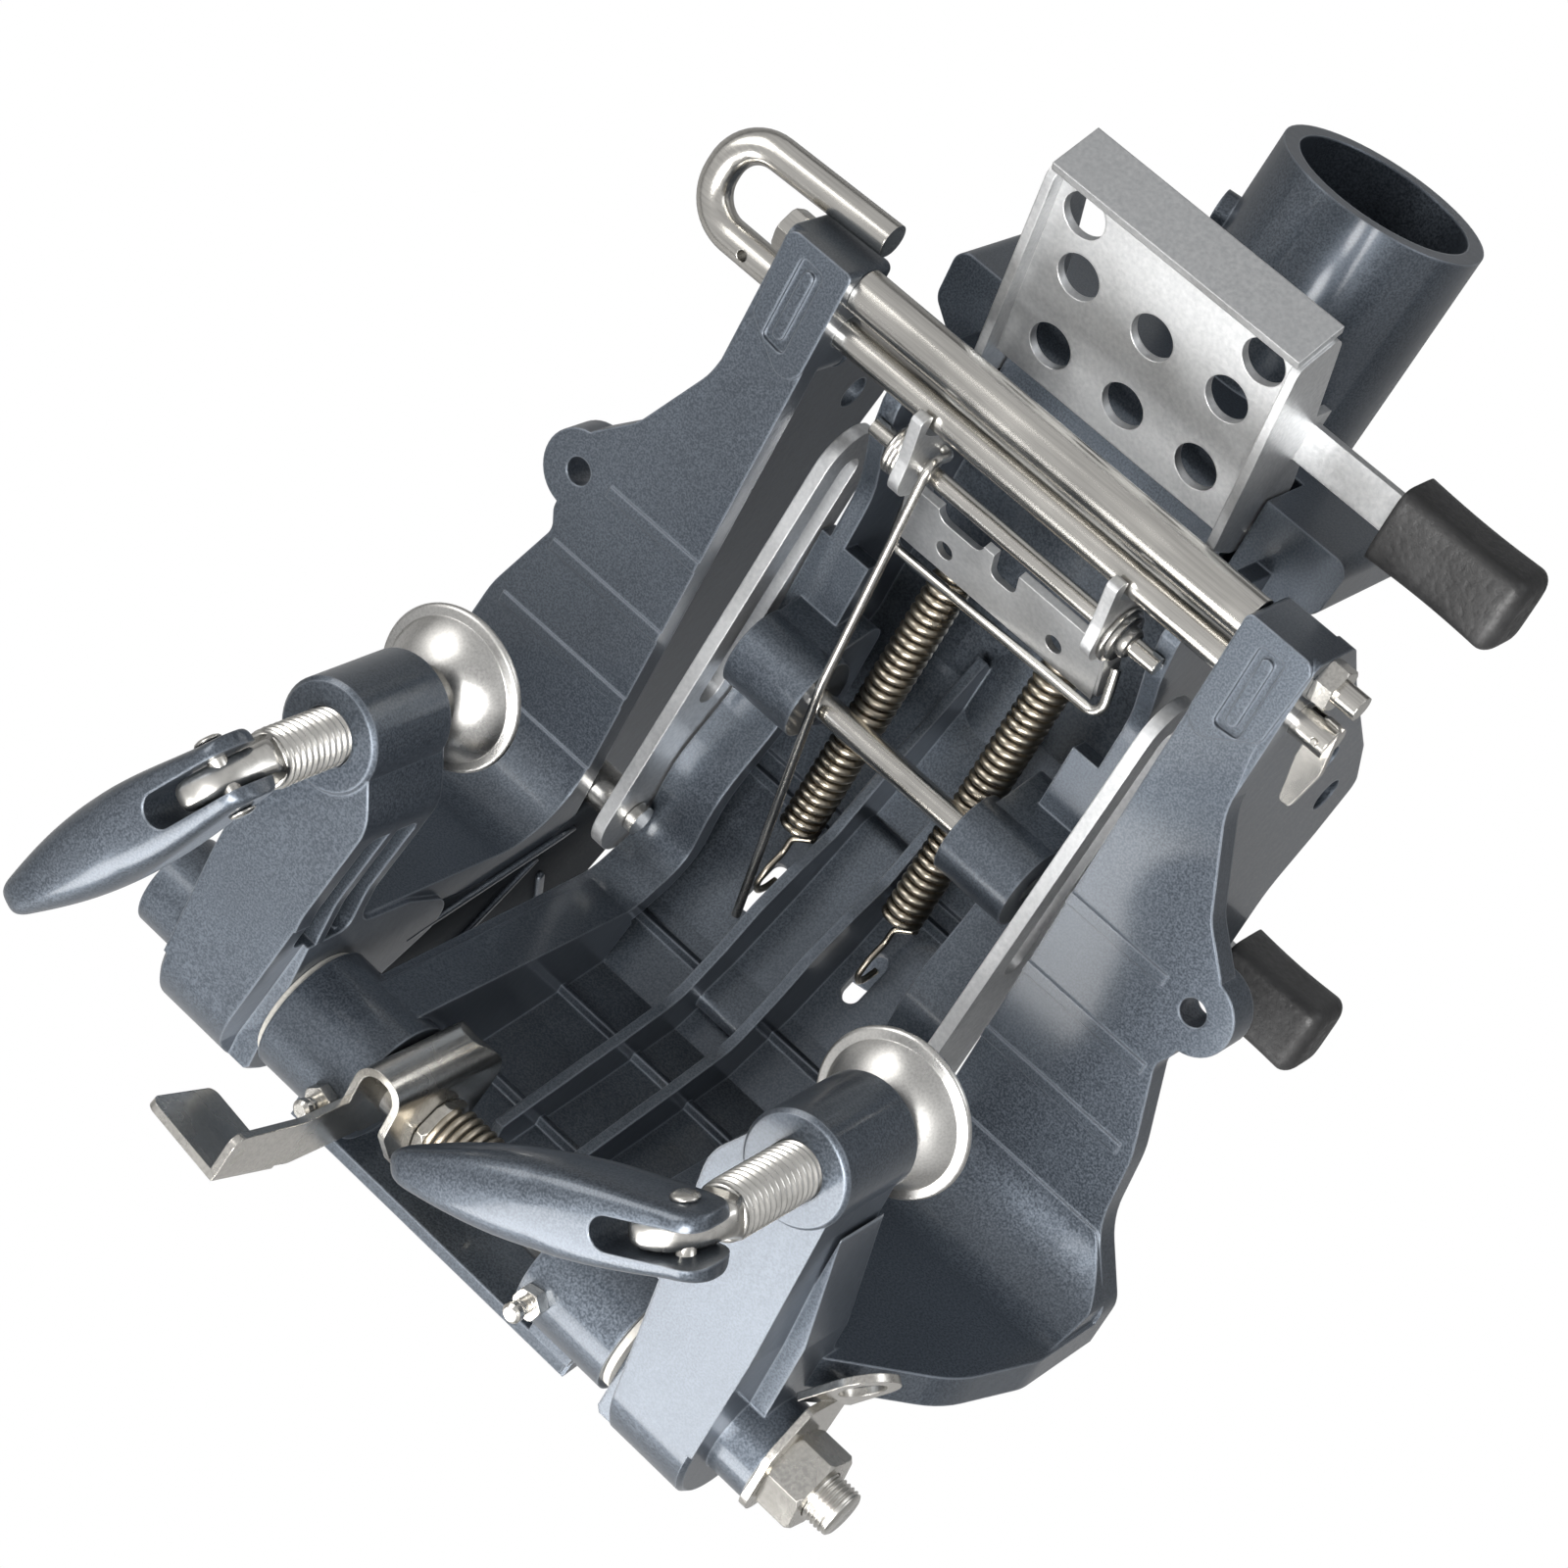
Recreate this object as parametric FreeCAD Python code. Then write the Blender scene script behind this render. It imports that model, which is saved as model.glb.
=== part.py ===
import FreeCAD, Part
import math
import os

os.makedirs("parts", exist_ok=True)

# Outboard motor clamp and swivel bracket.
# X runs across the boat with port positive, Y runs aft and Z runs up.
# The origin lies on the transom face, midway between the two transom bolt holes.

V = FreeCAD.Vector
AXIS_X = V(1, 0, 0)
AXIS_Y = V(0, 1, 0)
AXIS_Z = V(0, 0, 1)

# Driving dimensions in millimetres
BOLT_SPACING = 250.8        # between the two transom bolt holes
BOLT_HOLE_R = 4.5           # transom bolt hole
EAR_R = 13.5                # lobe round each bolt hole
INNER_X = 76.0              # inner edge of each clamp flange
FLANGE_T = 9.0              # flange thickness
PAD_STEP = 0.8              # height of the low ridges on the flange face
FOOT_Z = -112.0             # lower end of the clamp brackets
FOOT_W = 25.0               # width of the lower end
FOOT_T = 21.0               # depth of the lower end block
WEB_X = 95.0                # inner face of the side web
WEB_T = 6.0                 # side web thickness
TILT_Y = -104.0             # tilt axis
TILT_Z = 136.0
TILT_BOLT_R = 8.0
TILT_FIT = 0.06             # running clearance on the tilt bolt
LOBE_R = 27.0               # round top end of each clamp arm
ARM_X0 = 74.0               # inner face of the clamp arm at the tilt bolt
ARM_LOW_X = 68.0            # inner face of the arm beside the clamp screw
ARM_X1 = 110.0              # outer face of the clamp arm
BARREL_X = 124.0            # outer end of the starboard tilt barrel
PORT_BARREL_X = 130.5       # outer end of the port tilt barrel, with the bolt head sunk in it
HEAD_SINK = 9.0             # depth of the port counterbore
BARREL_R = 16.0
SADDLE_Z = 106.0            # underside of the saddle, on top of the transom
SADDLE_T = 12.0
SADDLE_FRONT = -98.0        # inner face of the clamp arm
SADDLE_W = 153.0            # outer edge of the saddle
SADDLE_ROUND = 26.0         # round between flange and saddle
SCREW_X = 92.0              # clamp screw axis
SCREW_Z = 34.0
SCREW_R = 9.0
SCREW_FIT = 0.08
BOSS_R = 17.5
BOSS_FRONT = -133.0         # inboard face of the screw boss
SCREW_BACK_OFF = 7.0        # the starboard screw is backed out this much further
PAD_Y = -76.0               # rim of the port clamp pad
PAD_R = 25.5
STEM_OUT = 27.0             # port thread that shows inboard of the boss
HANDLE_LEN = 91.0           # from the screw's axis to the handle's tip
PIN_RING_R = 254.0          # trim pin holes lie on this arc about the tilt axis
PIN_ANGLE = 27.6            # first hole, measured from straight down
PIN_STEP = 6.85
PIN_COUNT = 4
PIN_R = 5.5
PIN_FIT = 0.08
STAY_Y = 11.0               # stay tube
STAY_Z = -105.0
STAY_R = 7.25
STAY_BOLT_R = 4.0
SWIVEL_X = 58.0             # outer face of the swivel bracket side walls
WALL_T = 6.0                # side wall thickness
RAIL_W = 16.0               # width of the rail along the wall edge
FLOOR_T = 5.0               # floor of the trough
SWIVEL_BARREL_X = 71.5      # outer end of the swivel barrels
SWIVEL_BARREL_IN = 37.2     # inner end of the swivel barrels
SWIVEL_BARREL_R = 21.5
BUSH_T = 2.5
TUBE_R = 35.0               # swivel tube
TUBE_BORE_R = 29.5
TUBE_LEAN = 7.5             # lean of the tube in degrees, lower end aft
MOUTH_Y = 142.0             # centre of the lower mouth of the tube
MOUTH_Z = -170.0
TUBE_LEN = 300.0
CROSS_Y = 25.0              # cross shaft
CROSS_Z = 21.0
CROSS_R = 4.5
CROSS_BOSS_R = 14.0
CROSS_BOSS_IN = 31.0
RIB_X = 11.5                # the two long ribs in the trough
RIB_T = 3.5
LOCK_Y = 20.0               # lock arm shaft
LOCK_Z = -68.0
LOCK_R = 3.0
LUG_X = 40.0                # outer face of the lock arm lugs
LUG_T = 4.0
SPRING_X = 22.0             # the two extension springs
SPRING_R = 6.0
SPRING_WIRE_R = 0.9
SPRING_RIDGES = 9
LINK_X = 62.0               # inner face of the slotted arms
LINK_T = 4.5
LINK_GAP = 0.6              # between the rails of the swivel bracket and the slotted arms
LINK_W = 28.0
LINK_Y = 16.5               # pivot of the slotted arms
LINK_Z = 93.0
LINK_LEN = 137.0
SHEET = 3.0                 # pressed steel sheet
TRAY_PORT = 50.0            # outer faces of the perforated tray
TRAY_STARBOARD = -44.6
TRAY_PIVOT_Y = 66.0
TRAY_PIVOT_Z = -97.0
LEVER_SHEET = 2.5

PARTS = {}


def box(x0, x1, y0, y1, z0, z1):
    """A block between two corners."""
    low = V(min(x0, x1), min(y0, y1), min(z0, z1))
    return Part.makeBox(abs(x1 - x0), abs(y1 - y0), abs(z1 - z0), low)


def bar_x(x0, x1, y, z, r):
    """A round bar along X."""
    return Part.makeCylinder(r, abs(x1 - x0), V(min(x0, x1), y, z), AXIS_X)


def bar_y(y0, y1, x, z, r):
    """A round bar along Y."""
    return Part.makeCylinder(r, abs(y1 - y0), V(x, min(y0, y1), z), AXIS_Y)


def bar_between(a, b, r):
    """A round bar from point a to point b."""
    a = V(*a)
    b = V(*b)
    return Part.makeCylinder(r, (b - a).Length, a, b - a)


def join(*shapes):
    """One solid made of overlapping shapes."""
    first = shapes[0]
    rest = list(shapes[1:])
    return first.fuse(rest).removeSplitter() if rest else first


def less(shape, *tools):
    """A shape with the tools cut away."""
    return shape.cut(list(tools))


def port_to_starboard(shape):
    """The same piece for the other side of the boat."""
    return shape.mirror(V(0, 0, 0), AXIS_X)


def closed_wire(corners, place):
    """A closed outline through corners (u, v) or (u, v, radius); a round takes at most half of each side."""
    points = [place(c[0], c[1]) for c in corners]
    radii = [c[2] if len(c) > 2 else 0.0 for c in corners]
    count = len(points)
    starts = []
    ends = []
    middles = []
    for i in range(count):
        before = (points[i - 1] - points[i]).normalize()
        after = (points[(i + 1) % count] - points[i]).normalize()
        half = before.getAngle(after) / 2.0
        if radii[i] <= 0 or half > math.pi / 2 - 1e-3:
            starts.append(points[i])
            ends.append(points[i])
            middles.append(None)
            continue
        shorter = min((points[i - 1] - points[i]).Length, (points[(i + 1) % count] - points[i]).Length)
        run = min(radii[i] / math.tan(half), 0.49 * shorter)
        radius = run * math.tan(half)
        bisector = (before + after).normalize()
        centre = points[i] + bisector * (radius / math.sin(half))
        starts.append(points[i] + before * run)
        ends.append(points[i] + after * run)
        middles.append(centre - bisector * radius)
    edges = []
    for i in range(count):
        if middles[i] is not None:
            edges.append(Part.Arc(starts[i], middles[i], ends[i]).toShape())
        nxt = starts[(i + 1) % count]
        if (nxt - ends[i]).Length > 1e-6:
            edges.append(Part.LineSegment(ends[i], nxt).toShape())
    return Part.Wire(edges)


def slab_x(x0, x1, corners):
    """A flat piece with its outline in Y and Z, from x0 to x1."""
    face = Part.Face(closed_wire(corners, lambda u, v: V(x0, u, v)))
    return face.extrude(V(x1 - x0, 0, 0))


def slab_y(y0, y1, corners):
    """A flat piece with its outline in X and Z, from y0 to y1."""
    face = Part.Face(closed_wire(corners, lambda u, v: V(u, y0, v)))
    return face.extrude(V(0, y1 - y0, 0))


def slab_z(z0, z1, corners):
    """A flat piece with its outline in X and Y, from z0 to z1."""
    face = Part.Face(closed_wire(corners, lambda u, v: V(u, v, z0)))
    return face.extrude(V(0, 0, z1 - z0))


def strip(points, width):
    """Corners of a band of the given width whose left side follows the points, each (u, v) or (u, v, radius)."""
    other = []
    count = len(points)
    for i, p in enumerate(points):
        a = points[max(i - 1, 0)]
        b = points[min(i + 1, count - 1)]
        if 0 < i < count - 1:
            d1 = math.atan2(p[1] - a[1], p[0] - a[0])
            d2 = math.atan2(b[1] - p[1], b[0] - p[0])
            turn = (d2 - d1 + math.pi) % (2 * math.pi) - math.pi
            heading = d1 + turn / 2
            reach = width / math.cos(turn / 2)
        else:
            turn = 0.0
            heading = math.atan2(b[1] - a[1], b[0] - a[0])
            reach = width
        radius = p[2] if len(p) > 2 else 0.0
        if radius > 0:
            radius = radius + width if turn > 0 else max(radius - width, 0.5)
        other.append((p[0] + reach * math.sin(heading), p[1] - reach * math.cos(heading), radius))
    return list(points) + other[::-1]


def hex_nut_x(x0, x1, y, z, flats, hole_r):
    """A hexagonal nut along X with chamfered corners."""
    r = flats / math.sqrt(3.0)
    corners = []
    for i in range(6):
        a = math.radians(60 * i + 15)
        corners.append((y + r * math.cos(a), z + r * math.sin(a)))
    body = slab_x(x0, x1, corners)
    chamfer = (r - flats / 2.0) * 0.6
    low = min(x0, x1)
    high = max(x0, x1)
    core = bar_x(low, high, y, z, r)
    core = core.makeChamfer(chamfer, [e for e in core.Edges if e.Closed])
    body = body.common(core)
    return less(body, bar_x(low - 1, high + 1, y, z, hole_r)) if hole_r else body


def ridged_x(x0, x1, y, z, crest, root, count):
    """A round stretch along X whose outside runs in and out between root and crest, as a coil does."""
    low = min(x0, x1)
    step = abs(x1 - x0) / count
    outline = [V(low, 0, 0), V(low, root, 0)]
    for i in range(count):
        outline.append(V(low + (i + 0.5) * step, crest, 0))
        outline.append(V(low + (i + 1) * step, root, 0))
    outline.append(V(low + count * step, 0, 0))
    outline.append(outline[0])
    face = Part.Face(Part.makePolygon(outline))
    return face.revolve(V(0, 0, 0), AXIS_X, 360).translate(V(0, y, z))


def turned_to_y(shape):
    """A piece made along X, turned about Z to lie along Y."""
    return shape.rotate(V(0, 0, 0), AXIS_Z, 90)


def save(name, shape):
    """Write one node and remember it."""
    PARTS[name] = shape
    shape.exportStep("parts/" + name + ".step")


# Places that several pieces share
EAR_X = BOLT_SPACING / 2.0


def pin_place(index):
    """Centre of a trim pin hole in Y and Z."""
    a = math.radians(PIN_ANGLE + PIN_STEP * index)
    return TILT_Y + PIN_RING_R * math.sin(a), TILT_Z - PIN_RING_R * math.cos(a)


PIN_Y, PIN_Z = pin_place(0)


# Clamp brackets, one casting on each side
def clamp_flange():
    """The flat flange against the transom, with its ear and low ridges."""
    outer = FOOT_W + INNER_X
    outline = [
        (INNER_X, FOOT_Z, 3), (outer, FOOT_Z, 4), (outer - 3, -80, 40), (outer + 1, -56, 25),
        (EAR_X - 10, -27, 18), (EAR_X + 3, -EAR_R + 0.5, 6), (EAR_X + 2, 16, 6), (EAR_X - 1, 22, 6),
        (EAR_X + 9, 52, 40), (EAR_X + 12, 78, 30), (SADDLE_W, 100, 10), (SADDLE_W, SADDLE_Z + SADDLE_T),
        (INNER_X, SADDLE_Z + SADDLE_T),
    ]
    plate = slab_y(PAD_STEP, FLANGE_T, outline)
    ear = bar_y(PAD_STEP, FLANGE_T + 3, EAR_X, 0, EAR_R)
    foot = slab_y(0, FOOT_T, [
        (INNER_X, FOOT_Z, 2.5), (outer, FOOT_Z, 4), (outer - 2, -82, 4), (INNER_X, -66, 6),
    ])
    ridges = []
    for z, reach in ((-2, EAR_X - 12), (26, EAR_X - 3), (53, EAR_X + 4)):
        ridges.append(box(INNER_X, reach, 0, PAD_STEP + 1, z - 2, z + 2))
    return join(plate, ear, foot, *ridges)


def clamp_web():
    """The side web behind the flange, with the row of trim pin holes."""
    outline = [
        (1, FOOT_Z, 3), (FOOT_T + 2, FOOT_Z, 5), (44, -92, 20), (90, -52, 10), (107, -31, 7), (100, -12, 12),
        (90, 8, 30), (89, 40, 20), (91, 92, 20), (78, 124, 20), (30, SADDLE_Z + 32, 30), (-52, SADDLE_Z + 32, 12),
        (-62, SADDLE_Z + 3, 3), (1, SADDLE_Z + 2, 2),
    ]
    return slab_x(WEB_X, WEB_X + WEB_T, outline)


def clamp_saddle():
    """The saddle over the transom with the round that joins it to the flange."""
    top = SADDLE_Z + SADDLE_T
    plate = slab_z(SADDLE_Z, top, [
        (ARM_X0 + 2, FLANGE_T), (SADDLE_W, FLANGE_T, 4), (SADDLE_W, -30, 20), (SADDLE_W - 9, -62, 40),
        (ARM_X1 + 6, SADDLE_FRONT + 2, 20), (ARM_X1, SADDLE_FRONT - 8), (ARM_X0 + 2, SADDLE_FRONT - 8),
    ])
    corner = box(INNER_X, SADDLE_W - 1, -SADDLE_ROUND, PAD_STEP + 1, SADDLE_Z - SADDLE_ROUND, SADDLE_Z + 1)
    round_tool = bar_x(INNER_X - 1, SADDLE_W + 1, -SADDLE_ROUND, SADDLE_Z - SADDLE_ROUND, SADDLE_ROUND)
    corner = less(corner, round_tool)
    side = slab_y(-SADDLE_ROUND - 1, PAD_STEP + 1, [
        (INNER_X, SADDLE_Z - SADDLE_ROUND - 1), (EAR_X + 12, SADDLE_Z - SADDLE_ROUND - 1, 6),
        (SADDLE_W - 0.5, 99, 8), (SADDLE_W - 0.5, top), (INNER_X, top),
    ])
    corner = corner.common(side)
    return join(plate, corner)


def clamp_arm():
    """The arm inside the boat with the round top end and the screw boss, its inner face leaning inwards lower down."""
    front = TILT_Y - LOBE_R
    arm = slab_x(ARM_LOW_X, ARM_X1, [
        (front, TILT_Z), (front - 1, SCREW_Z - 6, 4), (SADDLE_FRONT, SCREW_Z - 6, 4), (SADDLE_FRONT, SADDLE_Z, 8),
        (SADDLE_FRONT + 26, SADDLE_Z + 1), (-40, SADDLE_Z + SADDLE_T - 1, 12), (-76, TILT_Z + 10, 6),
        (TILT_Y, TILT_Z + 10),
    ])
    front_shape = slab_y(front - 3, -10, [
        (SCREW_X - 10, SCREW_Z - 12, 10), (SCREW_X + 10, SCREW_Z - 12, 10), (SCREW_X + BOSS_R - 2, SCREW_Z + 8, 8),
        (ARM_X1, 96, 20), (ARM_X1, 170), (ARM_X0, 170), (ARM_X0, 90, 30), (ARM_LOW_X, SCREW_Z + 16, 18),
    ])
    pocket = slab_x(ARM_LOW_X - 1, ARM_X0 + 13, [
        (front + 6, 58, 4), (SADDLE_FRONT - 4, 58, 4), (SADDLE_FRONT - 4, SADDLE_Z, 4), (front + 6, SADDLE_Z + 2, 4),
    ])
    pocket_rib = box(ARM_LOW_X, ARM_X0 + 14, front + 15, front + 18.5, 57, SADDLE_Z + 1)
    pocket = less(pocket, pocket_rib)
    arm = less(arm.common(front_shape), pocket)
    lobe = bar_x(ARM_X0, ARM_X1, TILT_Y, TILT_Z, LOBE_R)
    lobe = lobe.makeChamfer(1.5, [e for e in lobe.Edges if e.Closed])
    front_bevel = slab_y(front - 3, front + 12, [
        (ARM_X0 - 1, 96), (ARM_X0 + 0.5, 96), (ARM_X0 + 8, 150), (ARM_X0 + 8, 170), (ARM_X0 - 1, 170),
    ])
    boss = bar_y(BOSS_FRONT, SADDLE_FRONT, SCREW_X, SCREW_Z, BOSS_R)
    boss = boss.makeChamfer(1.2, [e for e in boss.Edges if e.Closed])
    rib = slab_x(ARM_X1 - 1, ARM_X1 + 6, [
        (BOSS_FRONT + 14, SCREW_Z + 12, 3), (SADDLE_FRONT, SCREW_Z + 10), (SADDLE_FRONT + 6, SADDLE_Z, 6),
        (SADDLE_FRONT + 52, SADDLE_Z + 1), (SADDLE_FRONT + 52, SADDLE_Z + SADDLE_T + 2, 4),
        (TILT_Y + 4, TILT_Z - 8), (TILT_Y - 8, TILT_Z - 10),
    ])
    rib_side = slab_y(BOSS_FRONT, -20, [
        (ARM_X1 + 7, 98), (SCREW_X + BOSS_R - 1, SCREW_Z + 15, 30), (SCREW_X + BOSS_R - 1, 20), (ARM_X1 + 20, 20),
        (ARM_X1 + 20, 98),
    ])
    return less(join(arm, lobe, boss, less(rib, rib_side)), front_bevel)


def clamp_stiffeners():
    """Thin ribs between the flange and the side web, and the ribbed wall on top of the saddle's inner edge."""
    ribs = []
    for z, outer in ((-48, 0), (4, EAR_X - 12), (50, EAR_X - 4)):
        ribs.append(slab_z(z - 1.5, z + 1.5, [
            (INNER_X + 3, FLANGE_T - 1), (WEB_X + 1, FLANGE_T - 1), (WEB_X + 1, FLANGE_T + 26),
        ]))
        if outer > 0:
            ribs.append(slab_z(z - 1.5, z + 1.5, [
                (WEB_X + WEB_T - 1, FLANGE_T - 1), (outer, FLANGE_T - 1), (WEB_X + WEB_T - 1, FLANGE_T + 30),
            ]))
    top = SADDLE_Z + SADDLE_T
    wall = ARM_X0 + 5
    ribs.append(slab_x(ARM_X0 + 2, wall, [
        (-72, top - 1), (-72, top + 22, 8), (-40, top + 16, 20), (6, top + 10, 6), (FLANGE_T, top - 1),
    ]))
    for i in range(5):
        y = -66 + 15.0 * i
        ribs.append(slab_z(top - 1, top + 8, [
            (wall - 1, y), (wall - 1, y + 3), (WEB_X + 1, y + 17), (WEB_X + 1, y + 14),
        ]))
    return ribs


def clamp_casting(barrel_x, head_sink):
    """The whole clamp bracket casting for the port side, with a tilt barrel of the given length."""
    barrel = bar_x(ARM_X1 - 2, barrel_x, TILT_Y, TILT_Z, BARREL_R)
    body = join(clamp_flange(), clamp_web(), clamp_saddle(), clamp_arm(), barrel, *clamp_stiffeners())
    cuts = [
        bar_y(-20, 40, EAR_X, 0, BOLT_HOLE_R),
        bar_x(ARM_X0 - 5, barrel_x + 5, TILT_Y, TILT_Z, TILT_BOLT_R + TILT_FIT),
        bar_y(BOSS_FRONT - 5, SADDLE_FRONT + 5, SCREW_X, SCREW_Z, SCREW_R + SCREW_FIT),
        bar_x(INNER_X - 5, WEB_X + 20, STAY_Y, STAY_Z, STAY_BOLT_R + PIN_FIT),
        slab_y(-1, 1.4, [(84, -106, 2), (93, -107, 2), (93, -78, 2), (84, -77, 2)]),
    ]
    if head_sink > 0:
        cuts.append(bar_x(barrel_x - head_sink, barrel_x + 1, TILT_Y, TILT_Z, BARREL_R - 2.5))
    for i in range(PIN_COUNT):
        y, z = pin_place(i)
        cuts.append(bar_x(INNER_X - 5, WEB_X + 20, y, z, PIN_R + PIN_FIT))
    body = less(body, *cuts)
    bar = slab_y(0.2, 2, [(86.5, -104, 2), (90.5, -104, 2), (90.5, -80, 2), (86.5, -80, 2)])
    return join(body, bar)


save("clamp_bracket_port", clamp_casting(PORT_BARREL_X, HEAD_SINK))
save("clamp_bracket_starboard", port_to_starboard(clamp_casting(BARREL_X, 0)))


# Tilt bolt through both brackets, its nut, the rope plate and the two thrust washers
def rope_plate():
    """Bent steel plate under the nut, with a slanting tab and a hole for a safety rope."""
    x0 = -BARREL_X - LEVER_SHEET
    ring = slab_x(x0, -BARREL_X, [
        (TILT_Y - 14, TILT_Z + 15, 8), (TILT_Y - 15, TILT_Z - 10, 8), (TILT_Y - 5, TILT_Z - 24, 2),
        (TILT_Y + 17, TILT_Z - 21, 2), (TILT_Y + 15, TILT_Z + 15, 8),
    ])
    ring = less(ring, bar_x(x0 - 1, 1 - BARREL_X, TILT_Y, TILT_Z, TILT_BOLT_R + TILT_FIT))
    tab = box(-15, 0, -11, 11, 0, LEVER_SHEET)
    tab = join(tab, Part.makeCylinder(11, LEVER_SHEET))
    tab = less(tab, Part.makeCylinder(7, LEVER_SHEET + 2, V(0, 0, -1)))
    down = V(-0.502, 0, -0.865)
    across = V(-0.363, 0.906, 0.211)
    tab.Placement = FreeCAD.Placement(V(-131.6, -97.3, 103.4), FreeCAD.Rotation(down, across, AXIS_Z, "XYZ"))
    return join(ring, tab)


NUT_LEN = 13.0
HEAD_LEN = 7.5
THREAD_OUT = 9.0
nut_x0 = -BARREL_X - LEVER_SHEET
bolt_end = nut_x0 - NUT_LEN - THREAD_OUT
head_x = PORT_BARREL_X - HEAD_SINK
shank = bar_x(bolt_end, head_x + 1, TILT_Y, TILT_Z, TILT_BOLT_R)
shank = shank.makeChamfer(1.0, [e for e in shank.Edges if e.Closed and e.BoundBox.XMax < 0])
head = bar_x(head_x, head_x + HEAD_LEN, TILT_Y, TILT_Z, 12.0)
head = head.makeChamfer(2.5, [e for e in head.Edges if e.Closed and e.BoundBox.XMin > head_x + 1])
save("tilt_bolt", join(shank, head))
save("tilt_bolt_nut", hex_nut_x(nut_x0 - NUT_LEN, nut_x0, TILT_Y, TILT_Z, 24.0, TILT_BOLT_R + 0.02))
save("safety_rope_plate", rope_plate())

washer_in = SWIVEL_BARREL_X
washer = less(
    bar_x(washer_in + 0.1, ARM_X0 - 0.1, TILT_Y, TILT_Z, SWIVEL_BARREL_R - 2.0),
    bar_x(washer_in - 1, ARM_X0 + 1, TILT_Y, TILT_Z, TILT_BOLT_R + TILT_FIT),
)
save("pivot_washers", Part.makeCompound([washer, port_to_starboard(washer)]))


# Swivel bracket, one casting: barrels, trough, cross beam and swivel tube
def trough_line(offset):
    """Inner face of the trough floor from the lip down to the foot, moved outward by the offset."""
    inner = [
        (-113, 160), (-66, 150), (-28, 142), (4, 134), (26, 117), (46, 94), (68, 62), (88, 12), (92, -50), (92, -92),
    ]
    if offset == 0:
        return inner
    band = strip(inner[::-1], offset)
    return band[len(inner):]


def rail_line():
    """Inboard edge of the side walls."""
    return [
        (-96, 117), (-40, 114), (6, 112, 18), (24, 99, 14), (22, 72, 40), (36, 44, 30), (36, -40, 30), (24, -62, 10),
        (19.6, -77, 3), (19.6, -93, 3),
    ]


def swivel_wall():
    """One side wall of the trough with the rail along its free edge, port side."""
    outer = [(y, z) for y, z, r in trough_line(FLOOR_T)]
    if outer[0][1] > outer[-1][1]:
        outer = outer[::-1]
    edge = [(e[0], e[1], e[2] if len(e) > 2 else 0) for e in rail_line()]
    wall = slab_x(SWIVEL_X - WALL_T, SWIVEL_X, outer[::-1] + edge[::-1])
    rail_edge = [(36, -19)] + [e for e in rail_line()[::-1] if e[1] > -15]
    rail = slab_x(SWIVEL_X - RAIL_W, LINK_X - LINK_GAP, strip(rail_edge, 7.0))
    return join(wall, rail)


def trough_floor():
    """The curved floor of the trough from the lip to the foot."""
    inner = trough_line(0)
    outer = [(y, z) for y, z, r in trough_line(FLOOR_T)]
    if outer[0][1] > outer[-1][1]:
        outer = outer[::-1]
    return slab_x(-SWIVEL_X + 1, SWIVEL_X - 1, inner + outer)


def trough_rib(x, top):
    """A long rib that stands on the trough floor, its free edge following the points."""
    inner = trough_line(0)
    base = [(y + 2, z + 2) for y, z in inner if -100 < y < 89 and z > 5]
    return slab_x(x - RIB_T / 2, x + RIB_T / 2, top + base[::-1])


RIB_TOP = [
    (-98, 146), (-66, 136, 30), (-30, 126, 30), (-4, 118, 20), (9, 102, 15), (18, 88, 20), (30, 76, 12), (42, 66, 12),
    (54, 44, 40), (80, 6),
]


def tube_axis(distance):
    """A point on the swivel tube's axis, the distance measured up from the mouth."""
    lean = math.radians(TUBE_LEAN)
    return V(0, MOUTH_Y - distance * math.sin(lean), MOUTH_Z + distance * math.cos(lean))


def swivel_tube(radius, start, length):
    """A round bar on the swivel tube's axis."""
    lean = math.radians(TUBE_LEAN)
    return Part.makeCylinder(radius, length, tube_axis(start), V(0, -math.sin(lean), math.cos(lean)))


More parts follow.
